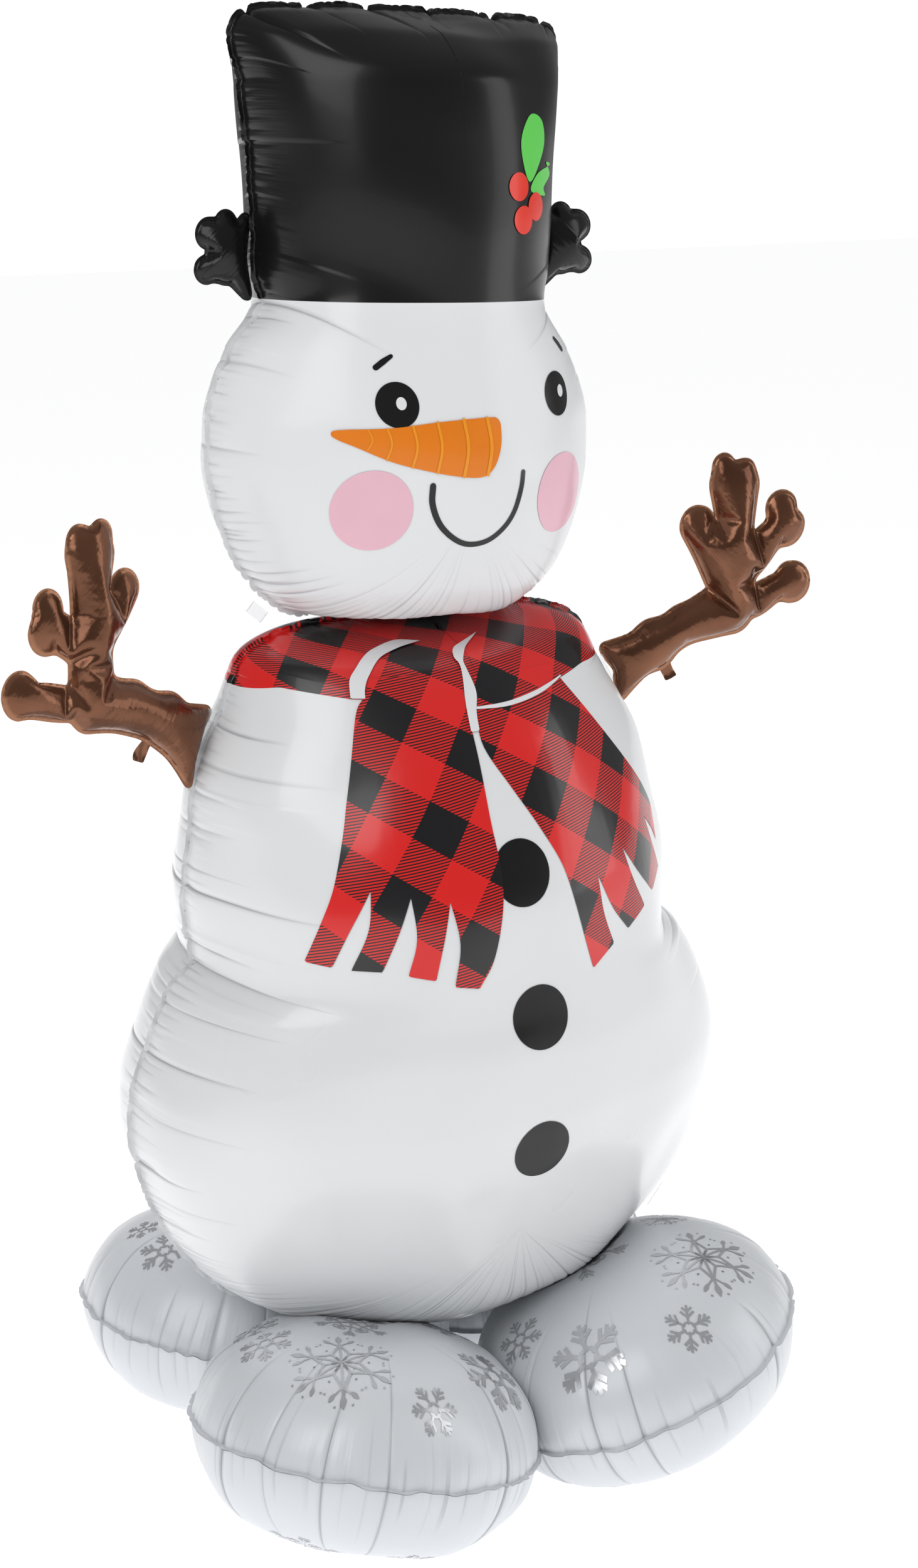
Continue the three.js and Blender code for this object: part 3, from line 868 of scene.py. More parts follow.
def pearl_film():
    material, nodes, links, shader = new_material(
        "pearl_film", Metallic=.12, Coat_Weight=.15, Coat_Roughness=.15,
    )
    varied_roughness(nodes, links, shader, .38, .48)
    film_bump(nodes, links, shader, ripples=.5, crumple=.05)
    # Pearl colour, with painted shade in the folds and along the seam.
    links.new(painted_fold_shade(nodes, links, (.67, .69, .715, 1)), shader.inputs["Base Color"])
    return material


def web_film():
    """The crumpled silver film between the pouches."""
    material, nodes, links, shader = new_material("web_film", Base_Color=(.34, .35, .37, 1), Metallic=.8)
    varied_roughness(nodes, links, shader, .2, .4, 30)
    crumples = object_texture(nodes, links, "TexVoronoi", 38, feature="DISTANCE_TO_EDGE")
    bump = add_node(nodes, "Bump", {"Distance": .006})
    links.new(crumples.outputs["Distance"], bump.inputs["Height"])
    links.new(bump.outputs[0], shader.inputs["Normal"])
    return material


def black_film():
    material, nodes, links, shader = new_material(
        "black_film", Base_Color=FILM_BLACK, Specular_IOR_Level=.3, Coat_Weight=.08, Coat_Roughness=.1,
    )
    varied_roughness(nodes, links, shader, .16, .24)
    film_bump(nodes, links, shader, ripples=.5, crumple=.12)
    return material


def head_film():
    """White below the hat's edge, black above it."""
    material, nodes, links, shader = new_material(
        "head_film", Specular_IOR_Level=.3, Coat_Weight=.08, Coat_Roughness=.08,
    )
    film_bump(nodes, links, shader, ripples=.45, crumple=.06)
    edge = printed_edge(nodes, links, "hat")
    colour = add_node(nodes, "Mix", {"B": FILM_BLACK}, data_type="RGBA")
    # Below the hat: white, with painted shade in the folds and along the seam.
    links.new(painted_fold_shade(nodes, links, FILM_WHITE), colour.inputs["A"])
    links.new(edge, colour.inputs["Factor"])
    links.new(colour.outputs["Result"], shader.inputs["Base Color"])
    gloss = add_node(nodes, "MapRange", {"To Min": .28, "To Max": .25})
    links.new(edge, gloss.inputs["Value"])
    links.new(gloss.outputs[0], shader.inputs["Roughness"])
    return material


PLAID_LEAN = math.radians(35)
PLAID_PERIOD = .079
PLAID_ORIGIN = (-.094, .80)      # a black square's centre, across and up the film
TWILL = .0027                    # spacing of the fine lines in the mixed squares
RED, BLACK = (.68, .012, .010, 1), (.008, .007, .008, 1)


def plaid_colour(nodes, links):
    """Red and black squares on the lean, with fine twill lines where a red band crosses a black one."""
    place = add_node(nodes, "Attribute", attribute_name="print")
    shift = add_node(nodes, "VectorMath", operation="SUBTRACT")
    shift.inputs[1].default_value = (*PLAID_ORIGIN, 0)
    links.new(place.outputs["Vector"], shift.inputs[0])

    def bands(direction, period, duty):
        """1 on the bands of a stripe pattern across a direction."""
        dot = add_node(nodes, "VectorMath", operation="DOT_PRODUCT")
        dot.inputs[1].default_value = (direction[0] / period, direction[1] / period, 0)
        links.new(shift.outputs[0], dot.inputs[0])
        wave = add_node(nodes, "Math", operation="PINGPONG")
        wave.inputs[1].default_value = .5
        links.new(dot.outputs["Value"], wave.inputs[0])
        on = add_node(nodes, "Math", operation="LESS_THAN")
        on.inputs[1].default_value = duty
        links.new(wave.outputs[0], on.inputs[0])
        return on.outputs[0]

    c, s = math.cos(PLAID_LEAN), math.sin(PLAID_LEAN)
    one, two = bands((c, -s), PLAID_PERIOD, .25), bands((-s, -c), PLAID_PERIOD, .25)
    lean = PLAID_LEAN - math.pi / 4
    twill = bands((math.sin(lean), math.cos(lean)), TWILL, .22)
    total = add_node(nodes, "Math", operation="ADD")
    links.new(one, total.inputs[0])
    links.new(two, total.inputs[1])

    def crossed(count):
        """1 where that many of the two bands lie over each other."""
        same = add_node(nodes, "Math", operation="COMPARE")
        same.inputs[1].default_value, same.inputs[2].default_value = count, .5
        links.new(total.outputs[0], same.inputs[0])
        return same.outputs[0]

    lines = add_node(nodes, "Math", operation="MULTIPLY_ADD")
    links.new(crossed(1), lines.inputs[0])
    links.new(twill, lines.inputs[1])
    links.new(crossed(2), lines.inputs[2])
    colour = add_node(nodes, "Mix", {"A": RED, "B": BLACK}, data_type="RGBA")
    links.new(lines.outputs[0], colour.inputs["Factor"])
    return colour.outputs["Result"]


def plaid_print():
    material, nodes, links, shader = new_material("plaid_print", Coat_Weight=.3, Coat_Roughness=.1)
    varied_roughness(nodes, links, shader, .22, .3)
    links.new(plaid_colour(nodes, links), shader.inputs["Base Color"])
    return material


def body_film():
    """White film with the printed scarf round the neck."""
    material, nodes, links, shader = new_material("body_film", Coat_Weight=.3, Coat_Roughness=.08)
    varied_roughness(nodes, links, shader, .24, .34)
    film_bump(nodes, links, shader, ripples=.35, crumple=.06)
    colour = add_node(nodes, "Mix", data_type="RGBA")
    # White, with painted shade in the folds and along the seam, under the printed scarf.
    links.new(painted_fold_shade(nodes, links, FILM_WHITE), colour.inputs["A"])
    links.new(plaid_colour(nodes, links), colour.inputs["B"])
    links.new(printed_edge(nodes, links, "scarf"), colour.inputs["Factor"])
    links.new(colour.outputs["Result"], shader.inputs["Base Color"])
    return material


def brown_film():
    """Printed bark colour over silver film: lighter where the film is stretched thin at the seam."""
    material, nodes, links, shader = new_material("brown_film", Metallic=.75)
    varied_roughness(nodes, links, shader, .15, .27, 30)
    film_bump(nodes, links, shader, ripples=.2, crumple=.32, crumple_scale=70)
    grain = object_texture(nodes, links, "TexNoise", 14)
    tones = add_node(nodes, "ValToRGB")
    for stop, position, tone in zip(tones.color_ramp.elements, (.3, .72), ((.12, .048, .025),
                                                                           (.23, .10, .055))):
        stop.position, stop.color = position, (*tone, 1)
    links.new(grain.outputs["Fac"], tones.inputs["Fac"])
    place = add_node(nodes, "Attribute", attribute_name="seam")
    split = add_node(nodes, "SeparateXYZ")
    links.new(place.outputs["Vector"], split.inputs[0])
    lip = add_node(nodes, "MapRange", {"From Min": 0, "From Max": .004, "To Min": 1, "To Max": 0})
    links.new(split.outputs["Y"], lip.inputs["Value"])
    colour = add_node(nodes, "Mix", {"B": (.31, .145, .08, 1)}, data_type="RGBA")
    links.new(tones.outputs["Color"], colour.inputs["A"])
    links.new(lip.outputs[0], colour.inputs["Factor"])
    links.new(colour.outputs["Result"], shader.inputs["Base Color"])
    return material


def clear_film():
    material, nodes, links, shader = new_material(
        "clear_film", Base_Color=(.9, .92, .94, 1), Transmission_Weight=.75, IOR=1.4, Alpha=.55,
    )
    varied_roughness(nodes, links, shader, .12, .3, 60)
    return material


def ink(name, colour, rough=.25, metallic=0.0):
    """Printed ink: one colour with a faint unevenness."""
    material, nodes, links, shader = new_material(
        name, Metallic=metallic, Specular_IOR_Level=.35, Coat_Weight=.12, Coat_Roughness=.08,
    )
    varied_roughness(nodes, links, shader, rough - .04, rough + .05)
    cloud = object_texture(nodes, links, "TexNoise", 40)
    darker = tuple(c * .94 for c in colour)
    mix = add_node(nodes, "Mix", {"A": (*darker, 1), "B": (*colour, 1)}, data_type="RGBA")
    links.new(cloud.outputs["Fac"], mix.inputs["Factor"])
    links.new(mix.outputs["Result"], shader.inputs["Base Color"])
    return material


WHITE, HEAD_WHITE, BODY_WHITE = white_film(), head_film(), body_film()
PEARL, BLACK_FILM, BROWN, CLEAR = pearl_film(), black_film(), brown_film(), clear_film()
PLAID = plaid_print()
WEB = web_film()
BLACK_INK = ink("black_ink", (.0085, .008, .0085))
ORANGE_INK = ink("orange_ink", (.76, .20, .008))
LIGHT_ORANGE_INK = ink("light_orange_ink", (.84, .30, .016))
PINK_INK = ink("pink_ink", (.78, .46, .54))
GREEN_INK = ink("green_ink", (.12, .62, .09))
RED_INK = ink("red_ink", (.75, .03, .012))
SILVER_INK = ink("silver_ink", (.58, .59, .61), .2, .6)


# ---------------------------------------------------------------- body and head

def by_height(shape, heights, values):
    """A number along a chamber's seam that follows the seam's height."""
    along, high = lengths_along(shape.half_outline), shape.half_outline[:, 1]
    return lambda s: float(np.interp(np.interp(s, along, high), heights, values))


def figure_sheets(shape, rng, long, fine, notch, room=0):
    """Front and back sheets of the body or the head.

    long and fine hold the spacing, depth and reach of their creases along the seam. notch is one hard
    crease: its height, depth, reach and width. No long crease starts closer to it than room.
    """
    along = lengths_along(shape.half_outline)
    at = float(np.interp(notch[0], shape.half_outline[:, 1], along))
    sides = []
    for _ in (0, 1):
        main = creases_along(along[-1], *long, rng)
        minor = creases_along(along[-1], *fine, rng)
        main = main[np.abs(main[:, 0] - at) > room]
        sides.append(np.vstack([main, minor, [[at, *notch[1:]]]]))
    return sealed_sheets(shape, sides, rng)


def add_panels(name, body, shape, sheets, material, edge):
    """The front and back panels of the body or the head. Returns the front one."""
    return [
        sheet_piece(f"{name}_{part}_panel", sheet, material, body, shape=shape, extra=edge)
        for part, sheet in zip(("front", "back"), sheets)
    ][0]


def build_body():
    shape = Chamber(BODY_ROWS, BODY_CORE)
    long = (
        lambda s: .042,
        by_height(shape, (.16, .30, .56, .80, .86), (.0022, .0026, .0034, .0030, .0022)),
        by_height(shape, (.16, .25, .40, .56, .60, .80, .85), (.05, .09, .12, .2, .17, .13, .06)),
    )
    fine = (
        by_height(shape, (.17, .25, .35), (.008, .010, .012)),
        by_height(shape, (.17, .22, .35), (.0032, .0020, .0011)),
        by_height(shape, (.17, .22, .35), (.28, .13, .045)),
    )
    waist = (.558, .0062, .19, .006)
    sheets = figure_sheets(shape, np.random.default_rng(11), long, fine, waist, room=.012)
    edge = np.array((
        (-.25, .812), (-.1879, .8228), (-.1689, .8274), (-.1177, .8188), (.0932, .8149), (.1310, .8206),
        (.1770, .8200), (.25, .806),
    ))
    scarf = {"scarf": lambda x, z: z - np.interp(x, *edge.T)}
    front = add_panels("body", "torso", shape, sheets, BODY_WHITE, scarf)
    return shape, Film(front, plan_of_front())


def build_head():
    shape = Chamber(HEAD_ROWS, HEAD_CORE)
    long = (
        by_height(shape, (1.1, 1.2, 1.34, 1.39), (.038, .046, .045, .056)),
        by_height(shape, (.9, 1.1, 1.2, 1.34, 1.39), (.0022, .0030, .0018, .0026, .0080)),
        by_height(shape, (.9, 1.0, 1.15, 1.2, 1.36, 1.40), (.05, .08, .08, .05, .06, .10)),
    )
    fine = (
        lambda s: .010,
        by_height(shape, (.885, .95, 1.02), (.0026, .0017, .0010)),
        by_height(shape, (.885, .95, 1.02), (.18, .09, .035)),
    )
    under_hat = (1.164, .0045, .16, .008)
    sheets = figure_sheets(shape, np.random.default_rng(23), long, fine, under_hat)
    hat = {"hat": lambda x, z: z - HAT_EDGE}
    front = add_panels("head", "head", shape, sheets, HEAD_WHITE, hat)
    return Film(front, HEAD_PLACE @ plan_of_front())


# ---------------------------------------------------------------- pouches

def pouch_place(side_x, side_y, lift, lean):
    """Where a pouch lies: its outer edge is lifted, it leans, and the floor flattens its foot."""
    outward = Vector((side_x, side_y, 0)).normalized()
    across = Vector((0, 0, 1)).cross(outward)
    turn = Matrix.Rotation(math.radians(lean), 4, outward) @ Matrix.Rotation(-math.radians(lift), 4, across)
    disc = Disc(POUCH_RADIUS - .006)
    ring = np.linspace(0, TURN, 72)
    foot = np.array([
        (r * math.cos(t), r * math.sin(t), -h) for r, h in zip(disc.out[::8], disc.height[::8]) for t in ring
    ])
    height = -moved(foot, turn)[:, 2].min() - FLOOR_FLAT
    lie_flat = Matrix.Rotation(-math.pi / 2, 4, "X")
    return Matrix.Translation((side_x * POUCH_SPREAD, side_y * POUCH_SPREAD, height)) @ turn @ lie_flat


def build_pouch(name, settings, body_shape, seed):
    side_x, side_y = settings[:2]
    place = pouch_place(*settings)
    rng = np.random.default_rng(seed)
    shape = Disc(POUCH_RADIUS - FLANGE)
    half = lengths_along(shape.half_outline)[-1]
    sides = []
    for _ in (0, 1):
        main = creases_along(half, lambda s: .062, lambda s: .0032, lambda s: .15, rng)
        minor = creases_along(half, lambda s: .024, lambda s: .0010, lambda s: .06, rng)
        sides.append(np.vstack([main, minor]))
    upper, lower = sealed_sheets(shape, sides, rng, step=.005, rows=32)

    def settle(verts):
        p = moved(verts, place)
        p[:, 0] = side_x * np.maximum(side_x * p[:, 0], POUCH_GAP)
        p[:, 1] = side_y * np.maximum(side_y * p[:, 1], POUCH_GAP)
        p[:, 2] = np.maximum(np.minimum(p[:, 2], body_shape.lowest(p[:, 0], p[:, 1]) - .002), .0004)
        return p

    films = {}
    for part, sheet in (("upper", upper), ("lower", lower)):
        full = f"{name}_pouch_{part}_panel"
        piece = sheet_piece(full, sheet, PEARL, "torso", shape=shape, place=settle)
        films[part] = Film(piece, place @ plan_of_front(-1 if part == "upper" else 1))
    return films


# ---------------------------------------------------------------- arms and brim lobes

def build_filled_limbs(name, pattern, side, body, material, seed, to_world, step):
    """Blows up a pattern, sets it in its plane and splits it into its two sheets."""
    outline = Outline(pattern["limbs"], pattern["root"])
    points, front, back, inward = blow_up(outline, step, np.random.default_rng(seed))
    (low_x, low_z), (high_x, high_z) = pattern["box"]
    low = np.array((low_x, points[:, 1].min(), low_z))
    high = np.array((high_x, points[:, 1].max(), high_z))
    place = to_world(fitted(points, low, high), side)
    for node, faces in ((f"{name}_front_panel", front), (f"{name}_back_panel", back)):
        used, local = np.unique(faces, return_inverse=True)
        faces = local.reshape(-1, 3)
        if side < 0:
            faces = faces[:, ::-1]
        seam = np.stack([points[used, 0] + points[used, 2], inward[used], 0 * used], -1)
        new_piece(node, place[used], faces, material, body, replaces=[node],
                  values={"seam": seam}, levels=1)


def arm_to_world(points, side):
    c, s = math.cos(ARM_FORWARD), math.sin(ARM_FORWARD)
    x, y, z = points.T
    return np.stack([side * (ARM_ROOT_X + x * c + y * s), y * c - x * s, z], -1)


def brim_to_world(points, side):
    return points * [side, 1, 1]


def build_arm_tail(name, side, place):
    """The tail of an arm's filling valve: a curled strip of film under the forearm."""
    down, along = np.meshgrid(np.linspace(0, 1, 9), np.linspace(-.5, .5, 5), indexing="ij")
    x = place[0] + TAIL_SIZE[0] * along + TAIL_SIZE[1] * .45 * down
    z = place[1] - TAIL_SIZE[1] * .85 * down + TAIL_SIZE[0] * .45 * along
    y = .004 * np.sin(2.4 * down) + .0012 * np.sin(9 * along + 5 * down)
    verts = arm_to_world(np.stack([x, y, z], -1).reshape(-1, 3), side)
    ids = np.arange(x.size).reshape(x.shape)
    quads = np.stack([ids[:-1, :-1], ids[1:, :-1], ids[1:, 1:], ids[:-1, 1:]], -1).reshape(-1, 4)
    node = f"{name}_inflation_tail"
    new_piece(node, verts, quads, BROWN, name, replaces=[node],
              values={"seam": np.full((x.size, 3), .02)}, levels=1)


# ---------------------------------------------------------------- prints of the figure

def print_face(film):
    eyes = [ellipse((-.0694, 1.0812), .0187, .0198), ellipse((.1033, 1.0852), .0168, .0200)]
    lay_print("eyes_print", film, eyes, BLACK_INK, "head")
    lay_print("eye_highlights_print", film,
              [ellipse((-.0664, 1.0823), .0045, .0056), ellipse((.1078, 1.0873), .0040, .0056)],
              WHITE, "head", lift=2 * LIFT, step=.002)
    lay_print("brows_print", film,
              [stroke([(-.0839, 1.1129), (-.0765, 1.1183), (-.0696, 1.1227)], [.0048, .0050, .0034]),
               stroke([(.1128, 1.1336), (.1189, 1.1288), (.1250, 1.1230)], [.0034, .0050, .0048])],
              BLACK_INK, "head", step=.002)
    nose = catmull([(-.1227, 1.0561), (-.1157, 1.0595), (-.0754, 1.0615), (-.0343, 1.0658), (.0165, 1.0683),
                    (.0271, 1.0660),
                    (.0293, 1.0566), (.0276, 1.0399), (.0200, 1.0235), (.0081, 1.0163), (-.0149, 1.0177),
                    (-.0464, 1.0239),
                    (-.0770, 1.0324), (-.1049, 1.0450), (-.1188, 1.0515)])
    lay_print("nose_print", film, [nose], ORANGE_INK, "head", lift=1.6 * LIFT, step=.003)
    stripes = []
    for x, low, high, wide in ((-.0938, 1.0419, 1.0600, .0012), (-.0786, 1.0337, 1.0611, .0017),
                               (-.0571, 1.0273, 1.0631, .0022),
                               (-.0344, 1.0220, 1.0657, .0026), (-.0085, 1.0177, 1.0674, .0032),
                               (.0158, 1.0182, 1.0677, .0034)):
        bowed = [(x - .002, low), (x + .0022, (low + high) / 2), (x - .001, high)]
        stripes.append(stroke(bowed, [wide, wide, wide]))
    lay_print("nose_stripes_print", film, stripes, LIGHT_ORANGE_INK, "head", lift=2.4 * LIFT, step=.002)
    cheeks = [ellipse((-.0898, .9886), .0335, .0360, -6), ellipse((.1077, .9947), .0345, .0375, -14)]
    lay_print("cheeks_print", film, cheeks, PINK_INK, "head")
    smile = [(-.0400, 1.0102), (-.0393, .9938), (-.0312, .9753), (-.0163, .9617), (.0001, .9554),
             (.0191, .9576),
             (.0345, .9682), (.0451, .9835), (.0513, 1.0039), (.0532, 1.0183)]
    lay_print("smile_print", film, [stroke(smile, [.0058, .0056, .0050, .0048, .0050, .0052, .0050])],
              BLACK_INK, "head", step=.002)


def print_holly(film):
    berries = [ellipse(c, .0125, .0125) for c in ((.0607, 1.2679), (.0859, 1.2510), (.0672, 1.2392))]
    lay_print("holly_berries_print", film, berries, RED_INK, "head", lift=1.6 * LIFT, step=.003)
    leaves = [
        catmull([(.0755, 1.2723), (.0655, 1.2914), (.0644, 1.3115), (.0770, 1.3304), (.0936, 1.3264),
                 (.0987, 1.3073),
                 (.0898, 1.2872)]),
        catmull([(.0775, 1.2647), (.0888, 1.2802), (.1125, 1.2883), (.1030, 1.2900), (.1130, 1.2800),
                 (.1000, 1.2680),
                 (.1034, 1.2609)]),
    ]
    lay_print("holly_leaves_print", film, leaves, GREEN_INK, "head")


def print_buttons(film):
    spots = ((-.0035, .6622), (.0033, .5274), (.0032, .3957))
    loops = [ellipse(c, .0290, .0302) for c in spots]
    lay_print("buttons_print", film, loops, BLACK_INK, "torso", step=.005)


def straight_loop(*runs):
    """Closed outline made of runs of points: each run is smooth, and they meet at corners."""
    parts = [catmull(run, closed=False, steps=6) if len(run) > 2 else np.array(run, float) for run in runs]
    points = np.vstack(parts)
    apart = np.linalg.norm(points - np.roll(points, 1, 0), axis=1) > 1e-5
    return points[apart]


def print_scarf(film, shape):
    left_tail = straight_loop(
        [(-.0110, .8359), (-.0197, .8101), (-.0233, .7622), (-.0256, .7113), (-.0242, .6641),
         (-.0306, .6225), (-.0410, .5867),
         (-.0557, .5638)],
        [(-.0557, .5638), (-.0780, .5680)],
        [(-.0780, .5680), (-.0709, .6064), (-.0759, .6460)],
        [(-.0759, .6460), (-.0850, .6095), (-.0943, .5752)],
        [(-.0943, .5752), (-.1164, .5803)],
        [(-.1164, .5803), (-.1072, .6136), (-.1085, .6518)],
        [(-.1085, .6518), (-.1231, .6146), (-.1364, .5843)],
        [(-.1364, .5843), (-.1593, .5853)],
        [(-.1593, .5853), (-.1445, .6219), (-.1391, .6585)],
        [(-.1391, .6585), (-.1583, .6219), (-.1733, .5873)],
        [(-.1733, .5873), (-.1922, .5912)],
        [(-.1922, .5912), (-.1791, .6267), (-.1658, .6604), (-.1523, .7039), (-.1411, .7411),
         (-.1189, .8029), (-.1067, .8198)],
        [(-.1067, .8198), (-.0976, .8338)],
    )
    right_tail = straight_loop(
        [(-.0048, .8289), (-.0061, .8171), (-.0124, .8002), (-.0149, .7722), (.0018, .7367), (.0247, .6949),
         (.0411, .6623),
         (.0515, .6239), (.0605, .5890), (.0687, .5585)],
        [(.0687, .5585), (.0985, .5743)],
        [(.0985, .5743), (.0865, .6092), (.0823, .6438)],
        [(.0823, .6438), (.0993, .6093), (.1198, .5828)],
        [(.1198, .5828), (.1486, .5965)],
        [(.1486, .5965), (.1308, .6306), (.1208, .6599)],
        [(.1208, .6599), (.1424, .6308), (.1674, .6041)],
        [(.1674, .6041), (.1913, .6183)],
        [(.1913, .6183), (.1793, .6463), (.1693, .6745)],
        [(.1693, .6745), (.1861, .6559), (.1929, .6424)],
        [(.1929, .6424), (.1928, .6628)],
        [(.1928, .6628), (.1928, .6782), (.1791, .7000), (.1502, .7369), (.1179, .7800), (.0933, .8159),
         (.0885, .8288)],
    )
    lay_print("scarf_left_tail_print", film, [left_tail], PLAID, "torso", step=.004, lift=1.8 * LIFT,
              shape=shape)
    lay_print("scarf_right_tail_print", film, [right_tail], PLAID, "torso", step=.004, lift=LIFT, shape=shape)
    gaps = [
        straight_loop(
            [(-.1182, .8183), (-.1145, .8327), (-.1064, .8417), (-.0955, .8498), (-.0816, .8553),
             (-.0567, .8594), (-.0328, .8574)],
            [(-.0328, .8574), (-.0597, .8544), (-.0826, .8483), (-.0975, .8358), (-.1041, .8258),
             (-.1063, .8179)],
            [(-.1063, .8179), (-.1182, .8183)],
        ),
        straight_loop(
            [(.0283, .8584), (.0063, .8544), (-.0086, .8508), (-.0140, .8448), (-.0122, .8374),
             (-.0197, .8101),
             (-.0234, .7852)],
            [(-.0234, .7852), (-.0149, .7852)],
            [(-.0149, .7852), (-.0124, .8002), (-.0061, .8171), (-.0072, .8359), (-.0062, .8428),
             (.0043, .8509), (.0283, .8584)],
        ),
        stroke([(-.0113, .8037), (.0206, .8037), (.0548, .8079), (.0801, .8128), (.0948, .8164)],
               [.0020, .0036, .0040, .0034, .0012]),
    ]
    lay_print("scarf_gaps_print", film, gaps, WHITE, "torso", step=.003, lift=3 * LIFT)


# ---------------------------------------------------------------- snowflakes

def turned(radius, degrees):
    return (radius * math.cos(math.radians(degrees)), radius * math.sin(math.radians(degrees)))


def curl(side):
    """A small scroll that leaves the stem and rolls back on itself."""
    centre = (.50, side * .19)
    return [(.34, 0)] + [
        (centre[0] + (.15 - .0125 * k) * math.cos(math.radians(200 + 42 * k)),
         centre[1] - side * (.15 - .0125 * k) * math.sin(math.radians(200 + 42 * k)))
        for k in range(9)
    ]


def flake_arm(kind):
    """Lines of one arm of a snowflake of unit size, along +X: points, then widths."""
    if kind == "ornate":
        lines = [([(0, 0), (.80, 0)], [.045, .045]), ([(.70, 0), (.86, 0), (1, 0)], [.03, .13, .01])]
        for side in (-1, 1):
            lines += [
                ([(0, 0), turned(.30, side * 30), (.60, 0)], [.045, .045, .045]),
                ([(.56, 0), turned(.84, side * 17)], [.035, .035]),
                ([turned(.70, side * 12), turned(.82, side * 16.5), turned(.88, side * 18)], [.03, .09, .03]),
                ([turned(.46, side * 30), turned(.50, side * 30)], [.035, .035]),
                ([turned(.72, side * 27), turned(.76, side * 27)], [.04, .04]),
                ([turned(.94, side * 10), turned(.98, side * 10)], [.04, .04]),
            ]
        return lines
    if kind == "scroll":
        lines = [([(0, 0), (.95, 0)], [.05, .04])]
        for side in (-1, 1):
            lines += [
                (curl(side), [.04, .045, .03]),
                ([(.66, 0), (.88, side * .15)], [.045, .035]),
                ([(.78, 0), (.97, side * .12)], [.04, .03]),
            ]
        return lines
    stem = .105 if kind == "bold" else .085
    lines = [([(.16, 0), (1, 0)], [stem, stem]), ([turned(.26, -30),
                                                   turned(.26, 30)], [stem * .8, stem * .8])]
    for side in (-1, 1):
        lines += [
            ([(.46, 0), (.72, side * .26)], [stem, stem]),
            ([(.70, 0), (.90, side * .19)], [stem * .9, stem * .9]),
        ]
    return lines


def flake_lines(kind, x, y, size, turn):
    """All the lines of a snowflake printed on the flat film of a pouch, as they lie once it is filled."""
    disc = Disc(POUCH_RADIUS - FLANGE)
    x, y = disc.flattened(x, y)
    lines = []
    for arm in range(6):
        c, s = turned(size, turn + 60 * arm)
        for points, widths in flake_arm(kind):
            p = np.array(points)
            placed = np.stack([x + p[:, 0] * c - p[:, 1] * s, y + p[:, 0] * s + p[:, 1] * c], -1)
            lines.append((disc.filled(respaced(placed, .003, closed=False)), np.array(widths) * size))
    return lines


def lay_lines(name, film, lines, material, body):
    """One piece of thin flat lines laid on a film."""
    verts, faces = [], []
    for points, widths in lines:
        line = np.asarray(points)
        wide = np.interp(np.linspace(0, 1, len(line)), np.linspace(0, 1, len(widths)), widths) / 2
        way = np.gradient(line, axis=0)
        way /= np.linalg.norm(way, axis=1)[:, None]
        left = np.stack([-way[:, 1], way[:, 0]], -1) * wide[:, None]
        laid = film.lay(np.stack([line + left, line - left], 1).reshape(-1, 2), LIFT)
        start = len(verts)
        verts += [v or Vector((0, 0, 0)) for v in laid]
        for k in range(0, len(laid) - 2, 2):
            if all(laid[k + i] is not None for i in range(4)):
                faces.append((start + k, start + k + 1, start + k + 3, start + k + 2))
    used, faces = np.unique(np.array(faces), return_inverse=True)
    new_piece(name, np.array(verts)[used], faces.reshape(-1, 4), material, body)


# Snowflakes that show from the front: kind, place on the pouch, size and turn. The rest are scattered.
FLAKES = {
    ("front_left", "upper"): (
        ("ornate", -.075, -.069, .053, 8), ("plain", -.009, -.136, .025, 0), ("bold", .080, -.089, .040, 22),
        ("plain", -.116, .0095, .029, 6), ("scroll", -.024, .014, .040, 0),
    ),
    ("front_left", "lower"): (("plain", .003, -.108, .027, 15),),
    ("front_right", "upper"): (
        ("plain", -.112, -.007, .028, 10), ("bold", -.082, -.0945, .041, 5), ("plain", .011, -.135, .026, 0),
        ("ornate", .0765, -.075, .055, 14), ("scroll", -.001, .042, .056, 8),
    ),
    ("back_left", "upper"): (("plain", -.112, -.041, .030, 12), ("plain", -.114, .020, .020, 0)),
}
FLAKE_ROOM = .150            # how far from a pouch's centre a scattered snowflake may reach


def print_snowflakes(films):
    rng = np.random.default_rng(77)
    for name, sheets in films.items():
        for part, film in sheets.items():
            flakes = list(FLAKES.get((name, part), ()))
            for _ in range(60):
                size, (x, y) = rng.uniform(.024, .048), rng.uniform(-.15, .15, 2)
                clear = all(math.hypot(x - f[1], y - f[2]) > size + f[3] + .014 for f in flakes)
                if clear and math.hypot(x, y) + size < FLAKE_ROOM and len(flakes) < 8:
                    kind = ("plain", "ornate", "bold", "scroll")[rng.integers(4)]
                    flakes.append((kind, x, y, size, rng.uniform(0, 60)))
            lines = [line for flake in flakes for line in flake_lines(*flake)]
            lay_lines(f"{name}_pouch_{part}_snowflakes", film, lines, SILVER_INK, "torso")


# ---------------------------------------------------------------- camera, light and floor

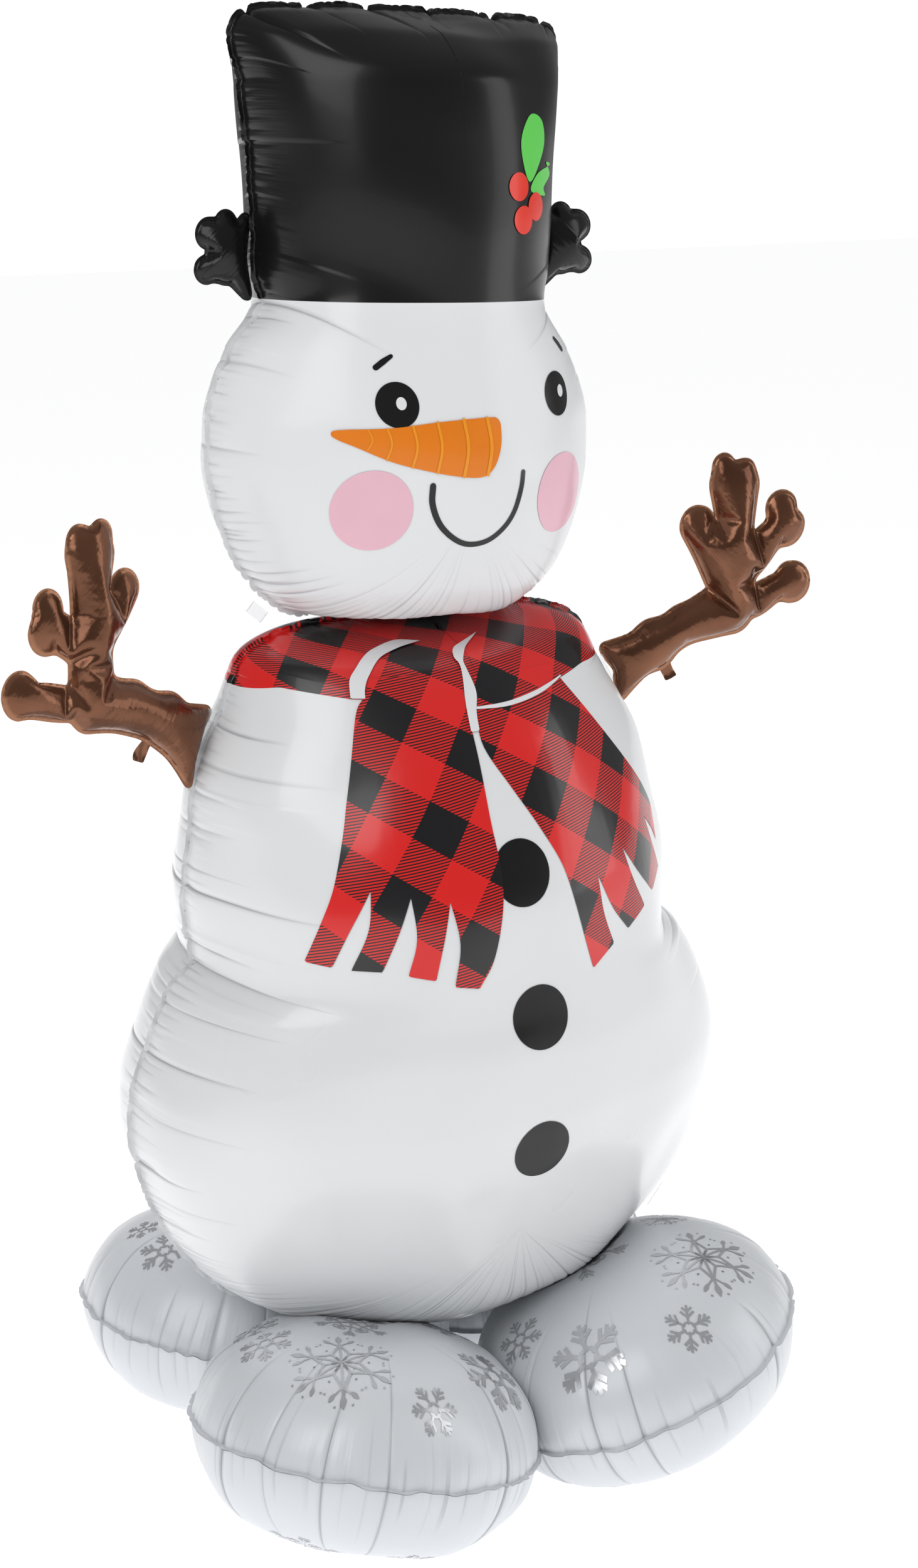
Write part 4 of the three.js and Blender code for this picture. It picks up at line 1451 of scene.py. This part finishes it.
def add_camera():
    """The camera stands in front, to the figure's right, a little above its waist."""
    azimuth, distance, height = math.radians(-26.9), 2.170, 1.280
    yaw, pitch, roll = math.radians(-28.0), math.radians(15.06), math.radians(-1.31)
    camera = bpy.data.objects.new("camera", bpy.data.cameras.new("camera"))
    bpy.context.scene.collection.objects.link(camera)
    forward = Vector((-math.sin(yaw) * math.cos(pitch), math.cos(yaw) * math.cos(pitch), -math.sin(pitch)))
    right = forward.cross(Vector((0, 0, 1))).normalized()
    up = right.cross(forward)
    rolled_right = right * math.cos(roll) + up * math.sin(roll)
    rolled_up = up * math.cos(roll) - right * math.sin(roll)
    turn = Matrix((rolled_right, rolled_up, -forward)).transposed().to_4x4()
    place = Vector((math.sin(azimuth) * distance, -math.cos(azimuth) * distance, height))
    camera.matrix_world = Matrix.Translation(place) @ turn
    camera.data.sensor_width = 36
    camera.data.lens = 52.235
    camera.data.clip_start = .05
    bpy.context.scene.camera = camera


def add_softbox(name, place, target, size, power):
    light = bpy.data.lights.new(name, "AREA")
    light.shape = "RECTANGLE"
    light.size, light.size_y = size
    light.energy = power
    lamp = bpy.data.objects.new(name, light)
    bpy.context.scene.collection.objects.link(lamp)
    lamp.location = place
    lamp.rotation_euler = (Vector(target) - Vector(place)).to_track_quat("-Z", "Y").to_euler()
    return lamp


def add_studio():
    """White surroundings: plain white to the camera, darker in front and low down to the film."""
    bpy.context.scene.view_settings.view_transform = "Standard"
    world = bpy.data.worlds.new("studio")
    bpy.context.scene.world = world
    world.use_nodes = True
    nodes, links = world.node_tree.nodes, world.node_tree.links
    place = add_node(nodes, "TexCoord")
    lean = add_node(nodes, "VectorMath", operation="DOT_PRODUCT")
    lean.inputs[1].default_value = (.45, .35, .82)
    links.new(place.outputs["Generated"], lean.inputs[0])
    spread = add_node(nodes, "MapRange", {"From Min": -1})
    links.new(lean.outputs["Value"], spread.inputs["Value"])
    ramp = add_node(nodes, "ValToRGB")
    for stop, position, tone in zip(ramp.color_ramp.elements, (.15, .85), ((.42, .43, .45), (1, 1, 1))):
        stop.position, stop.color = position, (*tone, 1)
    links.new(spread.outputs[0], ramp.inputs["Fac"])
    seen = add_node(nodes, "LightPath")
    dim = add_node(nodes, "Mix", data_type="RGBA", blend_type="MULTIPLY")
    dim.inputs["B"].default_value = (.45, .45, .46, 1)
    links.new(seen.outputs["Is Glossy Ray"], dim.inputs["Factor"])
    links.new(ramp.outputs["Color"], dim.inputs["A"])
    choice = add_node(nodes, "Mix", {"B": (2, 2, 2, 1)}, data_type="RGBA")
    links.new(seen.outputs["Is Camera Ray"], choice.inputs["Factor"])
    links.new(dim.outputs["Result"], choice.inputs["A"])
    links.new(choice.outputs["Result"], nodes["Background"].inputs["Color"])
    nodes["Background"].inputs["Strength"].default_value = .52

    mesh = bpy.data.meshes.new("floor")
    bm = bmesh.new()
    bmesh.ops.create_grid(bm, x_segments=4, y_segments=4, size=30)
    bm.to_mesh(mesh)
    bm.free()
    floor = bpy.data.objects.new("floor", mesh)
    bpy.context.scene.collection.objects.link(floor)
    mesh.materials.append(new_material(
        "floor", Base_Color=(.86, .86, .87, 1), Roughness=.6, Emission_Color=(1, 1, 1, 1),
        Emission_Strength=.60,
    )[0])

    add_softbox("key", (-2.2, -1.4, 2.6), (0, 0, .8), (1.6, 2.2), 30)
    add_softbox("fill", (2.6, -1.6, 1.6), (0, 0, .7), (1.2, 2.4), 16)
    add_softbox("back", (.6, 2.6, 2.4), (0, 0, .9), (2.4, 1.6), 34).visible_glossy = False
    add_softbox("top", (0, -.2, 3.2), (0, 0, .9), (2.0, 2.0), 16).visible_glossy = False


# ---------------------------------------------------------------- assembly

add_camera()
add_studio()
body_shape, body_front = build_body()
head_front = build_head()
pouch_films = {
    name: build_pouch(name, settings, body_shape, 40 + i)
    for i, (name, settings) in enumerate(POUCHES.items())
}
for name, pattern, side, seed in (("left_arm", LEFT_ARM, -1, 5), ("right_arm", RIGHT_ARM, 1, 6)):
    build_filled_limbs(name, pattern, side, name, BROWN, seed, arm_to_world, .004)
for name, side, place in (("left_arm", -1, LEFT_TAIL), ("right_arm", 1, RIGHT_TAIL)):
    build_arm_tail(name, side, place)
for name, pattern, side, seed in (("left_brim", LEFT_BRIM, -1, 7), ("right_brim", RIGHT_BRIM, 1, 8)):
    build_filled_limbs(name, pattern, side, name, BLACK_FILM, seed, brim_to_world, .0035)
print_face(head_front)
print_holly(head_front)
print_buttons(body_front)
print_scarf(body_front, body_shape)
print_snowflakes(pouch_films)

CLEAR_NODES = (
    "neck_weld_strip", "body_inflation_tail", "head_inflation_tail", "left_arm_root_tab",
    "right_arm_root_tab",
    "body_base_tab",
    *(f"{name}_pouch_weld_tab" for name in POUCHES),
)
for node, material in (*((name, CLEAR) for name in CLEAR_NODES), ("base_web", WEB)):
    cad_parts[node].data.materials.clear()
    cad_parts[node].data.materials.append(material)
